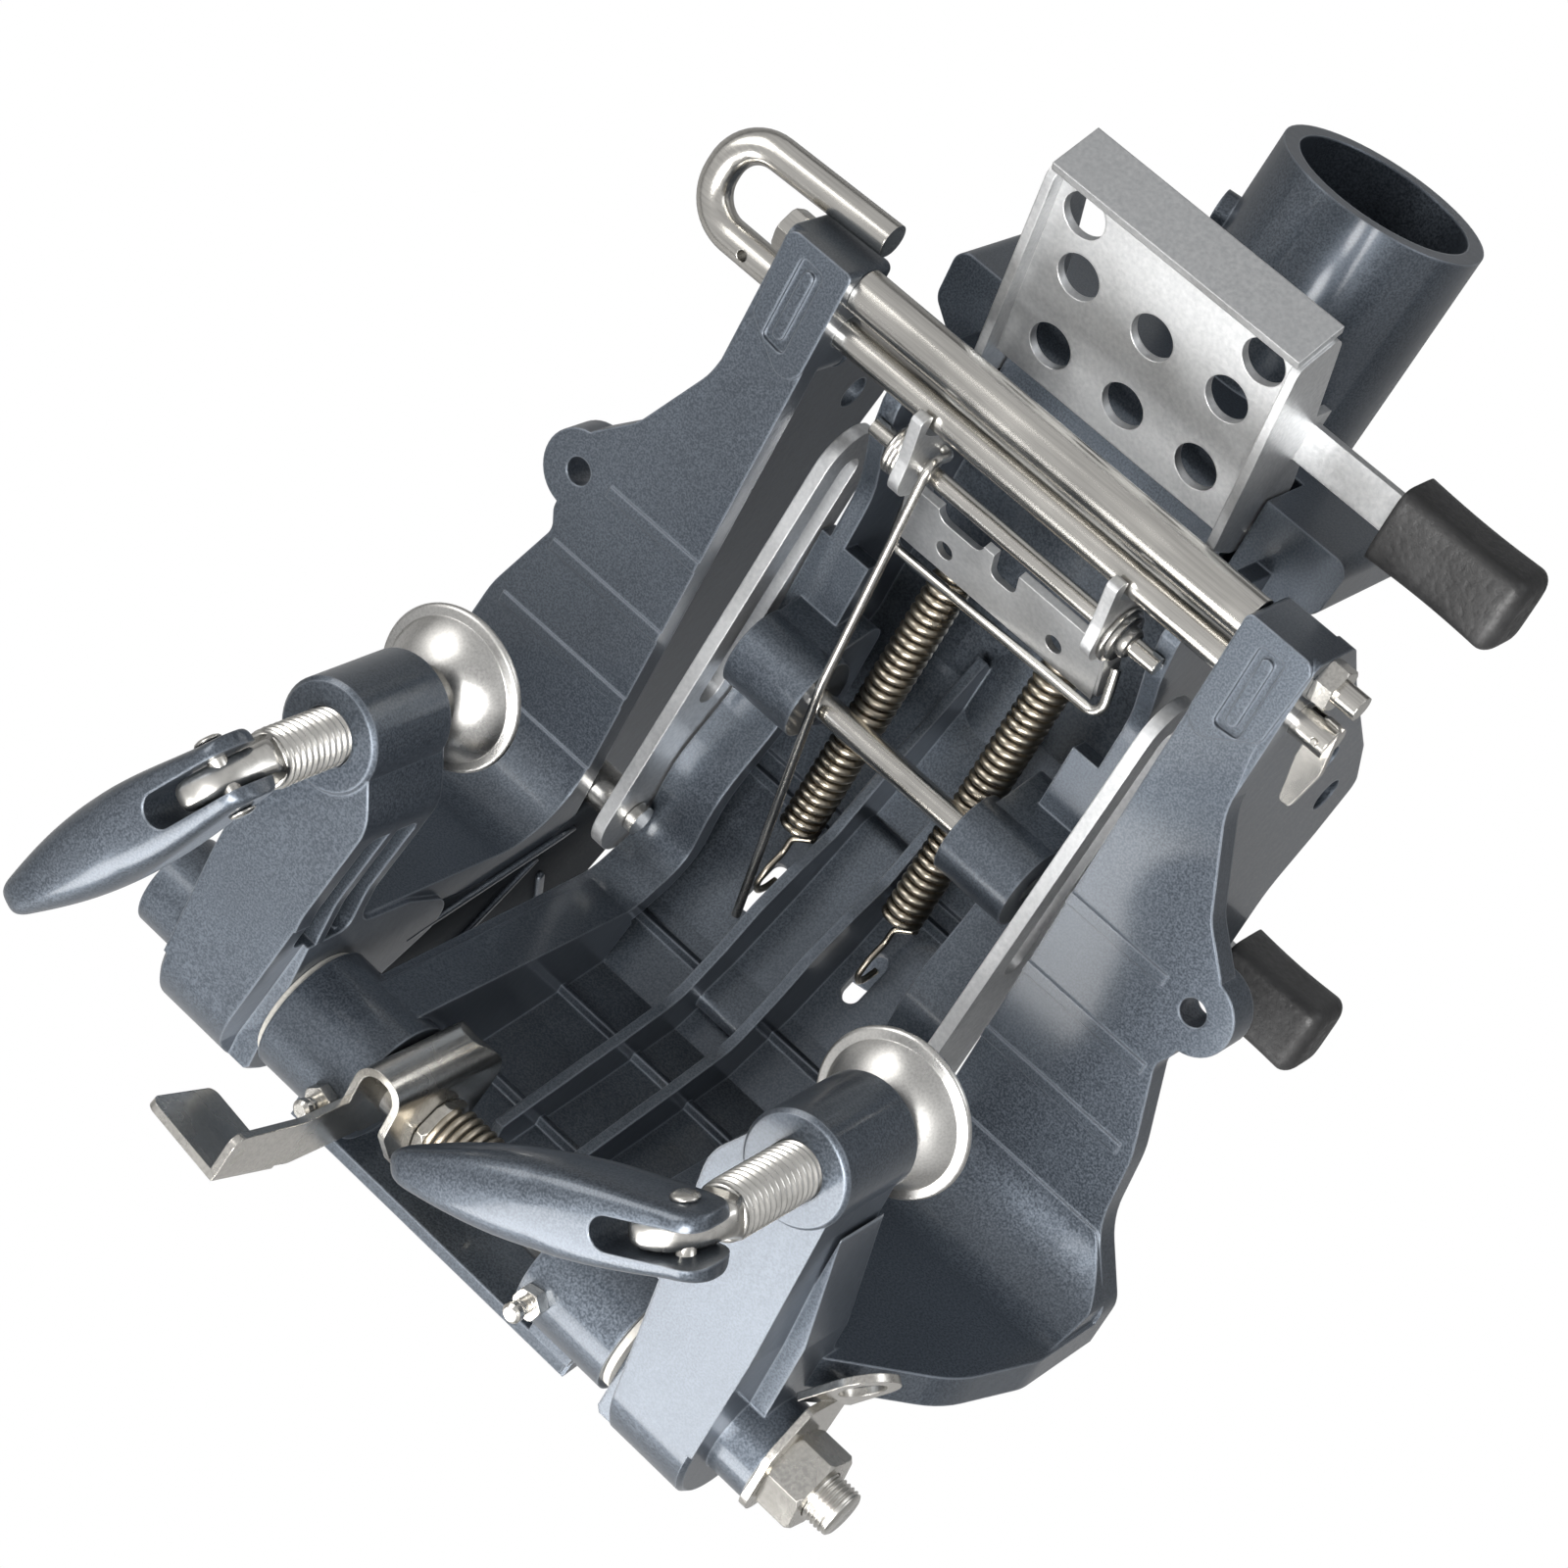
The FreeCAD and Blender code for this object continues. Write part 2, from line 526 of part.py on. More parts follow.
def swivel_casting():
    """The whole swivel bracket."""
    wall = swivel_wall()
    pieces = [wall, port_to_starboard(wall), trough_floor()]
    barrel = bar_x(SWIVEL_BARREL_IN, SWIVEL_BARREL_X, TILT_Y, TILT_Z, SWIVEL_BARREL_R)
    web = slab_x(SWIVEL_X - RAIL_W, SWIVEL_X, [
        (TILT_Y - 8, TILT_Z + 17), (TILT_Y - 9, 160), (-66, 151), (-28, 143), (4, 135), (10, 120), (4, 112),
        (TILT_Y + 4, 115),
    ])
    for piece in (barrel, web):
        pieces.append(piece)
        pieces.append(port_to_starboard(piece))
    boss = bar_x(CROSS_BOSS_IN, SWIVEL_X - 0.5, CROSS_Y, CROSS_Z, CROSS_BOSS_R)
    boss_root = slab_x(CROSS_BOSS_IN + 3, SWIVEL_X - 1, [
        (CROSS_Y - 2, CROSS_Z + 13, 4), (CROSS_Y + 26, CROSS_Z + 22, 6), (CROSS_Y + 26, CROSS_Z - 22, 6),
        (CROSS_Y - 2, CROSS_Z - 13, 4),
    ])
    ribs = [trough_rib(RIB_X, RIB_TOP), trough_rib(-RIB_X, RIB_TOP)]
    platform = slab_x(-RIB_X, RIB_X, [(8, 122, 6), (20, 112, 6), (40, 88, 10), (58, 62, 6), (66, 66, 4), (30, 118, 4), (10, 128, 4)])
    pieces.append(platform)
    for piece in (boss, boss_root):
        pieces.append(piece)
        pieces.append(port_to_starboard(piece))
    pieces.extend(ribs)
    for y, z in ((-58, 145), (-16, 136), (18, 120), (56, 76)):
        pieces.append(box(-SWIVEL_X + WALL_T - 1, SWIVEL_X - WALL_T + 1, y, y + 2.5, z, z + 7))
    beam = slab_y(60, 112, [
        (-77, -110, 5), (77, -110, 5), (76, -92, 6), (SWIVEL_X - 2, -76, 8), (-SWIVEL_X + 2, -76, 8), (-76, -92, 6),
    ])
    pieces.append(beam)
    pieces.append(swivel_tube(TUBE_R, 0, TUBE_LEN))
    cheek = slab_x(-SWIVEL_X + 4, SWIVEL_X - 4, [
        (85, -76), (85, 20), (60, 70), (72, 96), (100, 96), (128, -76),
    ])
    pieces.append(cheek)
    nipple = bar_between((38, MOUTH_Y - 14, MOUTH_Z + 30), (20, MOUTH_Y - 10, MOUTH_Z + 30), 6)
    pieces.append(nipple)
    body = join(*pieces)
    cuts = [
        bar_x(-SWIVEL_BARREL_X - 2, SWIVEL_BARREL_X + 2, TILT_Y, TILT_Z, TILT_BOLT_R + TILT_FIT + BUSH_T),
        bar_x(-SWIVEL_X + 0.5, SWIVEL_X - 0.5, CROSS_Y, CROSS_Z, CROSS_R + 0.02),
        bar_x(-SWIVEL_X + 1.5, SWIVEL_X - 1.5, LOCK_Y, LOCK_Z, LOCK_R + 0.05),
        swivel_tube(TUBE_BORE_R, -5, TUBE_LEN + 10),
        box(-SWIVEL_BARREL_IN, SWIVEL_BARREL_IN, TILT_Y - 25, TILT_Y + 25, TILT_Z - 30, TILT_Z + 19),
    ]
    for x in (-SPRING_X, SPRING_X):
        window = slab_z(-14, 8, [(-3.4, -9.5, 3.39), (3.4, -9.5, 3.39), (3.4, 9.5, 3.39), (-3.4, 9.5, 3.39)])
        turn = FreeCAD.Rotation(AXIS_X, V(0, -0.656, 0.755), V(0, -0.755, -0.656), "XYZ")
        window.Placement = FreeCAD.Placement(V(x, 42, 98.8), turn)
        cuts.append(window)
    for low, high in ((TRAY_STARBOARD, TRAY_STARBOARD + SHEET), (TRAY_PORT - SHEET, TRAY_PORT)):
        cuts.append(slab_x(low - 0.5, high + 0.5, [
            (40, -130), (TRAY_PIVOT_Y + 16, -130), (TRAY_PIVOT_Y + 16, TRAY_PIVOT_Z + 13, 12), (40, TRAY_PIVOT_Z + 13),
        ]))
    cuts.append(bar_x(TRAY_STARBOARD - 6, TRAY_PORT + 6, TRAY_PIVOT_Y, TRAY_PIVOT_Z, 4.02))
    return less(body, *cuts)


swivel = swivel_casting()
save("swivel_bracket", swivel)

bush = less(
    bar_x(SWIVEL_BARREL_IN, SWIVEL_BARREL_X, TILT_Y, TILT_Z, TILT_BOLT_R + TILT_FIT + BUSH_T),
    bar_x(SWIVEL_BARREL_IN - 1, SWIVEL_BARREL_X + 1, TILT_Y, TILT_Z, TILT_BOLT_R + TILT_FIT),
)
save("tilt_bushes", Part.makeCompound([bush, port_to_starboard(bush)]))


def grease_nipple():
    """A straight grease nipple in the front of one swivel barrel."""
    x = 43.8
    z = TILT_Z + 2.5
    front = TILT_Y - SWIVEL_BARREL_R
    hexagon = turned_to_y(hex_nut_x(0, 4.4, 0, 0, 9.0, 0)).translate(V(x, front - 4.4, z))
    neck = bar_y(front - 8, front - 4, x, z, 2.6)
    knob = bar_y(front - 12, front - 8, x, z, 3.2)
    knob = knob.makeChamfer(1.0, [e for e in knob.Edges if e.Closed])
    return join(hexagon, neck, knob)


nipple = grease_nipple()
save("grease_nipples", Part.makeCompound([nipple, port_to_starboard(nipple)]))


# Stay tube with its bolt, and the trim pin
tube_half = INNER_X - 0.05
stay = less(
    bar_x(-tube_half, tube_half, STAY_Y, STAY_Z, STAY_R),
    bar_x(-tube_half - 1, tube_half + 1, STAY_Y, STAY_Z, STAY_BOLT_R + 0.05),
)
save("stay_tube", stay)
web_out = WEB_X + WEB_T
bolt = join(
    bar_x(-web_out - 14, web_out + 1, STAY_Y, STAY_Z, STAY_BOLT_R),
    hex_nut_x(web_out, web_out + 5.5, STAY_Y, STAY_Z, 13.0, 0),
)
save("stay_bolt", bolt)
save("stay_bolt_nut", hex_nut_x(-web_out - 6.5, -web_out, STAY_Y, STAY_Z, 13.0, STAY_BOLT_R + 0.02))


def wire_path(points, r):
    """A bent round wire: straight runs joined by tangent arcs, from points (x, y, z) or (x, y, z, bend radius)."""
    places = [V(p[0], p[1], p[2]) for p in points]
    radii = [p[3] if len(p) > 3 else r * 2.2 for p in points]
    edges = []
    at = places[0]
    for i in range(1, len(places) - 1):
        before = (places[i - 1] - places[i]).normalize()
        after = (places[i + 1] - places[i]).normalize()
        half = before.getAngle(after) / 2.0
        run = radii[i] / math.tan(half)
        bisector = (before + after).normalize()
        centre = places[i] + bisector * (radii[i] / math.sin(half))
        start = places[i] + before * run
        end = places[i] + after * run
        if (start - at).Length > 1e-4:
            edges.append(Part.LineSegment(at, start).toShape())
        edges.append(Part.Arc(start, centre - bisector * radii[i], end).toShape())
        at = end
    edges.append(Part.LineSegment(at, places[-1]).toShape())
    path = Part.Wire(edges)
    ring = Part.Wire([Part.makeCircle(r, places[0], places[1] - places[0])])
    return path.makePipeShell([ring], True, False)


PIN_END = web_out + 12.0
J_OUT = 136.0               # outer end of the pin's hooked handle
J_DROP = 28.0
pin_rod = wire_path([
    (-PIN_END, PIN_Y, PIN_Z), (J_OUT, PIN_Y, PIN_Z, 13.5), (J_OUT, PIN_Y + 5, PIN_Z - J_DROP, 13.5),
    (INNER_X + 3, PIN_Y + 6, PIN_Z - J_DROP - 1.5),
], PIN_R)
slot = box(-PIN_END - 1, -PIN_END + 10.5, PIN_Y - 1.3, PIN_Y + 1.3, PIN_Z - 8, PIN_Z + 8)
pin_rod = less(pin_rod, slot, bar_y(PIN_Y - 9, PIN_Y + 9, 114, PIN_Z, 1.8),
               bar_y(PIN_Y - 9, PIN_Y + 9, -PIN_END + 3.5, PIN_Z, 1.1))
save("tilt_pin", pin_rod)

LATCH_X = -PIN_END + 3.5
blade = slab_y(PIN_Y - 1.1, PIN_Y + 1.1, [
    (LATCH_X - 3.2, PIN_Z - 6, 2.5), (LATCH_X + 3.2, PIN_Z - 6, 2.5), (LATCH_X + 3.8, PIN_Z + 9, 8),
    (LATCH_X + 1.0, PIN_Z + 24, 1.5), (LATCH_X - 3.0, PIN_Z + 24, 1.5), (LATCH_X - 5.5, PIN_Z + 10, 8),
])
blade = less(blade, bar_y(PIN_Y - 3, PIN_Y + 3, LATCH_X, PIN_Z, 1.05))
save("tilt_pin_latch", blade)
save("latch_rivet", bar_y(PIN_Y - PIN_R - 0.6, PIN_Y + PIN_R + 0.6, LATCH_X, PIN_Z, 1.0))


# Clamp screws with pads, pins and folding handles
def clamp_set(back_off):
    """One clamp screw, its pad, pin and handle for the port side, backed out towards the boat by the given length."""
    x = SCREW_X
    z = SCREW_Z
    pad_y = PAD_Y - back_off
    end_y = BOSS_FRONT - STEM_OUT - back_off
    seat = pad_y - 9.0
    stem = bar_y(end_y, seat - 8, x, z, SCREW_R)
    stem = stem.makeChamfer(1.2, [e for e in stem.Edges if e.Closed])
    tip = bar_y(seat - 8, seat - 1, x, z, SCREW_R - 2)
    ball = Part.makeSphere(5.5, V(x, seat + 1.0, z))
    pin_y = end_y - 16.0
    neck = Part.makeCone(SCREW_R - 1.5, SCREW_R - 2.5, 5, V(x, end_y + 1, z), V(0, -1, 0))
    tongue = slab_z(z - 5.0, z + 5.0, [
        (x - 7, end_y - 3), (x + 7, end_y - 3), (x + 7.5, pin_y + 6, 5), (x + 19, pin_y + 1, 4), (x + 19, pin_y - 7, 5),
        (x - 7, pin_y - 7.5, 7),
    ])
    screw = join(stem, tip, ball, neck, tongue)
    screw = less(screw, Part.makeCylinder(3.06, 30, V(x, pin_y, z - 15), AXIS_Z))
    front_line = Part.makePolygon([
        V(10.5, pad_y - 13, 0), V(5.9, pad_y - 13, 0), V(5.9, pad_y - 3.0, 0), V(0, pad_y - 2.2, 0), V(0, pad_y, 0),
        V(PAD_R - 6, pad_y - 2.0, 0), V(PAD_R - 1, pad_y - 0.2, 0),
    ])
    rim = Part.Arc(V(PAD_R - 1, pad_y - 0.2, 0), V(PAD_R, pad_y - 1.4, 0), V(PAD_R - 1.2, pad_y - 2.8, 0)).toShape()
    step = Part.LineSegment(V(PAD_R - 1.2, pad_y - 2.8, 0), V(PAD_R - 3.4, pad_y - 3.2, 0)).toShape()
    dome = Part.Arc(V(PAD_R - 3.4, pad_y - 3.2, 0), V(17.8, pad_y - 8.4, 0), V(10.5, pad_y - 13, 0)).toShape()
    outline = Part.Wire(front_line.Edges + [rim, step, dome])
    pad = Part.Face(outline).revolve(V(0, 0, 0), AXIS_Y, 360).translate(V(x, 0, z))
    pad = less(pad, Part.makeSphere(5.8, V(x, seat + 1.0, z)), bar_y(pad_y - 16, seat, x, z, SCREW_R - 1.5))
    half = 10.5
    tip = x + HANDLE_LEN
    leaf = slab_z(z - 14, z + 14, [
        (x - half, pin_y + 9, 8), (x - half, pin_y - half, 10), (x + 20, pin_y - 13, 30), (tip - 14, pin_y - 15, 20),
        (tip, pin_y - 11, 6), (tip, pin_y - 4, 5), (x + 55, pin_y + 7, 60), (x + half, pin_y + 10, 20),
    ])
    side = slab_y(pin_y - 20, pin_y + 20, [
        (x - half, z - 10, 7), (x - half, z + 10, 7), (x + 18, z + 12, 40), (x + 48, z + 13.5, 60), (tip - 14, z + 9, 30),
        (tip, z + 5, 4.8), (tip, z - 5, 4.8), (tip - 14, z - 9, 30), (x + 48, z - 13.5, 60), (x + 18, z - 12, 40),
    ])
    leaf = leaf.common(side)
    slot = slab_y(pin_y - 22, pin_y + 22, [
        (x - half - 2, z - 5.3), (x + 27, z - 5.3, 5.29), (x + 27, z + 5.3, 5.29), (x - half - 2, z + 5.3),
    ])
    leaf = less(leaf, slot)
    leaf = less(leaf, Part.makeCylinder(3.06, 30, V(x, pin_y, z - 15), AXIS_Z))
    pin = Part.makeCylinder(3.0, 19.6, V(x, pin_y, z - 9.8), AXIS_Z)
    return screw, pad, leaf, pin


def turn_about_screw(shape, degrees):
    """A handle turned about the port clamp screw's axis."""
    return shape.rotate(V(SCREW_X, 0, SCREW_Z), AXIS_Y, degrees)


NAMES = ("clamp_screw", "clamp_pad", "clamp_handle", "handle_pin")
PORT_TURN = -63.5
STARBOARD_TURN = -30.0
for piece_name, piece in zip(NAMES, clamp_set(0.0)):
    save(piece_name + "_port", turn_about_screw(piece, PORT_TURN))
for piece_name, piece in zip(NAMES, clamp_set(SCREW_BACK_OFF)):
    placed = turn_about_screw(piece, STARBOARD_TURN)
    save(piece_name + "_starboard", placed.translate(V(-2 * SCREW_X, 0, 0)))


# Slotted arms between the clamp brackets and the cross shaft
def slotted_arm():
    """One slotted steel arm, port side, hung from its pivot."""
    r = LINK_W / 2.0
    plate = slab_x(LINK_X, LINK_X + LINK_T, [
        (-r, r, r - 0.01), (-r, -LINK_LEN - r, r - 0.01), (r, -LINK_LEN - r, r - 0.01), (r, r, r - 0.01),
    ])
    hole = bar_x(LINK_X - 1, LINK_X + LINK_T + 1, 0, 0, 4.05)
    track = slab_x(LINK_X - 1, LINK_X + LINK_T + 1, [
        (-5, -46, 4.9), (-5, -LINK_LEN - 4, 4.9), (5, -LINK_LEN - 4, 4.9), (5, -46, 4.9),
    ])
    arm = less(plate, hole, track)
    lean = math.degrees(math.atan2(CROSS_Y - LINK_Y, LINK_Z - CROSS_Z))
    return arm.rotate(V(0, 0, 0), AXIS_X, lean).translate(V(0, LINK_Y, LINK_Z))


arm = slotted_arm()
save("slotted_arm_port", arm)
save("slotted_arm_starboard", port_to_starboard(arm))
arm_bolt = join(
    bar_x(LINK_X - 3.3, WEB_X - 0.02, LINK_Y, LINK_Z, 4.0),
    bar_x(LINK_X - 3.4, LINK_X - 0.3, LINK_Y, LINK_Z, 5.2),
    bar_x(LINK_X + LINK_T + 0.3, WEB_X - 0.02, LINK_Y, LINK_Z, 7.0),
)
save("arm_pivot_bolts", Part.makeCompound([arm_bolt, port_to_starboard(arm_bolt)]))
save("cross_shaft", bar_x(-SWIVEL_X + 0.8, SWIVEL_X - 0.8, CROSS_Y, CROSS_Z, CROSS_R))


# Reverse lock: lock arm, its shaft, washers, bail and springs
def lock_arm():
    """Pressed steel lock arm: two hooked lugs on the shaft joined by a web with cut-outs."""
    y = LOCK_Y
    z = LOCK_Z
    profile = [
        (PIN_Y - 12, PIN_Z, 1.5), (PIN_Y - 7.2, PIN_Z - 2.5, 1.5), (PIN_Y - 6.1, PIN_Z + 5.5, 1.5),
        (PIN_Y - 2, PIN_Z + 7, 2), (y + 3, z - 11.5, 6), (y + 11.5, z - 5, 8), (y + 10, z + 5, 6),
        (y + 24, z + 27, 3), (y + 16, z + 32, 3), (y + 4, z + 10.5, 8), (y - 10, z + 9, 8), (y - 12.5, z - 4, 8),
    ]
    lug = slab_x(LUG_X - LUG_T, LUG_X, profile)
    web = slab_x(-LUG_X + 1, LUG_X - 1, strip([(y + 18, z + 31), (y + 6, z + 8)], SHEET))
    body = join(lug, port_to_starboard(lug), web)
    cuts = [bar_x(-LUG_X - 2, LUG_X + 2, y, z, LOCK_R + 0.05)]
    cuts.append(slab_y(y, y + 50, [(-5, z + 18, 3), (5, z + 18, 3), (5, z), (-5, z)]))
    cuts.append(slab_y(y, y + 50, [(9, z + 13, 4), (27, z + 13, 4), (27, z), (9, z)]))
    for side in (-1, 1):
        cuts.append(bar_y(y, y + 50, side * SPRING_X, z + 23.5, 3.2))
    return less(body, *cuts)


save("lock_arm", lock_arm())
save("lock_shaft", bar_x(-SWIVEL_X + 1.8, SWIVEL_X - 1.8, LOCK_Y, LOCK_Z, LOCK_R))
collar = join(
    bar_x(LUG_X + 0.2, LUG_X + 1.8, LOCK_Y, LOCK_Z, 9.5),
    bar_x(LUG_X + 1.7, LUG_X + 3.6, LOCK_Y, LOCK_Z, 8.0),
    bar_x(LUG_X + 3.5, LUG_X + 6.8, LOCK_Y, LOCK_Z, 5.0),
)
collar = less(collar, bar_x(LUG_X - 1, LUG_X + 8, LOCK_Y, LOCK_Z, LOCK_R))
save("lock_washers", Part.makeCompound([collar, port_to_starboard(collar)]))

BAIL_R = 1.65
bail_x = LUG_X + BAIL_R + 0.2
bail = wire_path([
    (bail_x, LOCK_Y + 16, LOCK_Z + 22), (bail_x, LOCK_Y + 21, LOCK_Z + 40, 4.0), (-bail_x - 4.6, LOCK_Y + 10, LOCK_Z + 32, 4.5),
    (-bail_x, LOCK_Y + 12.5, LOCK_Z + 17),
], BAIL_R)
save("lock_bail", bail)


def coil_spring(bottom, top):
    """The close-wound coil of an extension spring between two points."""
    a = V(*bottom)
    b = V(*top)
    coil = ridged_x(0, (b - a).Length, 0, 0, SPRING_R, SPRING_R - SPRING_WIRE_R, SPRING_RIDGES)
    coil.Placement = FreeCAD.Placement(a, FreeCAD.Rotation(AXIS_X, (b - a).normalize()))
    return coil


SPRING_LOW = (SPRING_X, 50.0, -31.0)
SPRING_HIGH = (SPRING_X, 42.0, 74.0)


def extension_spring(side):
    """One extension spring with a hook at each end."""
    low = (side * SPRING_LOW[0], SPRING_LOW[1], SPRING_LOW[2])
    high = (side * SPRING_HIGH[0], SPRING_HIGH[1], SPRING_HIGH[2])
    coil = coil_spring(low, high)
    x = side * SPRING_X
    top_hook = wire_path([
        (x, high[1], high[2] - 4), (x, high[1] - 1, high[2] + 9, 3.0), (x, high[1] - 7, high[2] + 16, 3.0),
        (x, high[1] - 1, high[2] + 25, 3.0), (x, high[1] + 6, high[2] + 23),
    ], 1.1)
    low_hook = wire_path([
        (x, low[1], low[2] + 4), (x, low[1] + 0.5, low[2] - 9.6, 2.6), (x, low[1] - 17, low[2] - 12.3),
    ], 1.1)
    return join(coil, top_hook, low_hook)


save("lock_spring_port", extension_spring(1))
save("lock_spring_starboard", extension_spring(-1))

rod = wire_path([
    (LUG_X - LUG_T - 0.2, LOCK_Y + 4, LOCK_Z - 6.6), (32.3, LOCK_Y + 4, LOCK_Z - 6.6, 2.5),
    (32.3, LOCK_Y - 7, LOCK_Z - 6.6, 4.0), (28.4, 15.0, 9.9, 60.0), (21, 30, 105),
], 1.5)
save("release_rod", rod)


# Release lever on the tilt bolt with its torsion spring
LEVER_IN = 19.0             # leg beside the torsion spring
LEVER_OUT = 36.5            # outer face of the arm's strip
LEVER_FRONT = -131.0
LEVER_TIP = -187.0


def release_lever():
    """Bent sheet lever: a deep fold that straddles the tilt bolt, a strip running forward and a thumb plate."""
    fold = slab_y(LEVER_FRONT, -78, strip([
        (LEVER_IN + LEVER_SHEET, 148), (LEVER_IN + LEVER_SHEET, 114.5, 5.5), (LEVER_OUT - LEVER_SHEET, 114.5, 5.5),
        (LEVER_OUT - LEVER_SHEET, 148),
    ], LEVER_SHEET))
    side = slab_x(LEVER_IN - 1, LEVER_OUT + 1, [
        (LEVER_FRONT, 110), (-98, 110, 12), (-78, 118, 12), (-86, 146, 12), (-116, 149, 10), (LEVER_FRONT, 130, 6),
    ])
    fold = fold.common(side)
    arm = slab_x(LEVER_OUT - LEVER_SHEET, LEVER_OUT, [
        (-118, 128), (LEVER_FRONT, 128.5, 4), (-151, 128, 20), (LEVER_TIP + 3, 119.5, 4), (LEVER_TIP, 133),
        (-149, 145.5, 10), (-118, 147),
    ])
    paddle = slab_z(0, LEVER_SHEET, [(0, 0), (30, 0, 4), (29.5, 33, 3), (0, 33)])
    paddle = paddle.rotate(V(0, 0, 0), AXIS_Y, 6).rotate(V(0, 0, 0), AXIS_X, 17.5)
    paddle = paddle.translate(V(LEVER_OUT - LEVER_SHEET, LEVER_TIP, 132.2))
    lever = join(fold, arm, paddle)
    return less(lever, bar_x(LEVER_IN - 2, LEVER_OUT + 2, TILT_Y, TILT_Z, TILT_BOLT_R + 0.1))


save("release_lever", release_lever())
spacer_x = LEVER_IN - 0.3
spacer = hex_nut_x(spacer_x - 3.5, spacer_x, TILT_Y, TILT_Z, 19.5, TILT_BOLT_R + 0.02)
save("lever_spacer", spacer)


def torsion_spring():
    """Torsion spring round the tilt bolt beside the lever, with one leg aft."""
    high_x = spacer_x - 4.0
    low_x = high_x - 20.0
    inner = TILT_BOLT_R + 0.6
    outer = TILT_BOLT_R + 2.8
    coil = ridged_x(low_x, high_x, TILT_Y, TILT_Z, outer, outer - 1.2, 7)
    coil = less(coil, bar_x(low_x - 1, high_x + 1, TILT_Y, TILT_Z, inner))
    leg = bar_between((low_x + 1.2, TILT_Y, TILT_Z + outer - 1.3), (low_x + 1.2, TILT_Y + 18, TILT_Z + 11.0), 1.0)
    return join(coil, leg)


save("lever_spring", torsion_spring())


# Perforated tilt support tray with its grip, pivoted under the cross beam
def grip_shape(length, width, height):
    """A moulded grip along minus X with rounded edges, its open end at the origin."""
    u = height / 2.0
    v = width / 2.0
    body = slab_x(-length, 0, [(-u, -v, 6), (u, -v, 6), (u, v, 6), (-u, v, 6)])
    ends = [e for e in body.Edges if abs(e.BoundBox.XMax - e.BoundBox.XMin) < 1e-6]
    return body.makeChamfer(2.0, ends)


def tilt_tray():
    """Pressed tray: two side cheeks, a bottom flange, a perforated plate and the grip's arm."""
    cheeks = []
    for low, top in ((TRAY_STARBOARD, -90.5), (TRAY_PORT - SHEET, -87.0)):
        cheeks.append(slab_x(low, low + SHEET, [
            (24, -166, 4), (41, -175, 5), (74, -112, 10), (TRAY_PIVOT_Y + 9, TRAY_PIVOT_Z - 3, 6), (TRAY_PIVOT_Y, top, 6),
            (TRAY_PIVOT_Y - 9, top, 6), (43, -95, 3),
        ]))
    left = TRAY_STARBOARD + 1
    right = TRAY_PORT - 1
    bottom = slab_x(left, right, strip([(24, -166), (41, -175)], SHEET))
    plate = slab_x(left, right, strip([(29.5, -168), (50, -97)], SHEET)[::-1])
    grip_arm = join(
        box(TRAY_STARBOARD, TRAY_STARBOARD + SHEET, 50, 68, -141, -122),
        box(-84, TRAY_STARBOARD + 1, 60.5, 63.5, -138, -125),
    )
    tray = join(*cheeks, bottom, plate, grip_arm)
    cuts = [bar_x(TRAY_STARBOARD - 5, TRAY_PORT + 5, TRAY_PIVOT_Y, TRAY_PIVOT_Z, 4.05)]
    middle = (TRAY_PORT + TRAY_STARBOARD) / 2.0
    slope = math.degrees(math.atan2(20.5, 71))
    for z, columns in ((-157, (-34, 34)), (-138, (-28.5, 0, 28.5)), (-111, (-28.5, 0, 28.5))):
        y = 29.5 + (z + 168) * 20.5 / 71
        for column in columns:
            hole = bar_y(15, 75, middle + column, z, 7.5)
            cuts.append(hole.rotate(V(0, y, z), AXIS_X, -slope))
    return less(tray, *cuts)


save("tilt_support_tray", tilt_tray())
save("tray_pivot_pin", bar_x(TRAY_STARBOARD - 5.8, TRAY_PORT + 5.8, TRAY_PIVOT_Y, TRAY_PIVOT_Z, 4.0))
grip = grip_shape(46.5, 26, 21)
socket = box(-6, 1, -1.8, 1.8, -6.8, 6.8)
save("tray_grip", less(grip, socket).translate(V(-79.0, 62.0, -131.5)))

# Lever with the second grip on the starboard side of the swivel bracket
SIDE_Y = 82.0
SIDE_Z = 0.0
side_arm = slab_x(-SWIVEL_X - 2.3, -SWIVEL_X - 0.2, [
    (SIDE_Y - 10, SIDE_Z - 10, 9), (SIDE_Y + 10, SIDE_Z - 10, 9), (113, 42, 3), (113, 58, 2), (99, 58, 4),
])
side_tab = box(-104, -SWIVEL_X - 0.2, 108.5, 111.5, 43.5, 56.5)
side_lever = less(join(side_arm, side_tab), bar_x(-70, -50, SIDE_Y, SIDE_Z, 4.05))
save("side_lever", side_lever)
save("side_lever_rivet", join(
    bar_x(-SWIVEL_X - 3, -SWIVEL_X, SIDE_Y, SIDE_Z, 4.0),
    bar_x(-SWIVEL_X - 3.7, -SWIVEL_X - 2.5, SIDE_Y, SIDE_Z, 6.5),
))
save("side_lever_grip", less(grip_shape(38, 26, 21), socket).translate(V(-98, 110.0, 50)))

print(len(PARTS), "nodes")
for name in sorted(PARTS):
    shape = PARTS[name]
    print(name, len(shape.Solids), round(shape.Volume), shape.isValid())
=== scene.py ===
import bpy
import itertools
import math
import numpy as np
from mathutils import Matrix, Vector


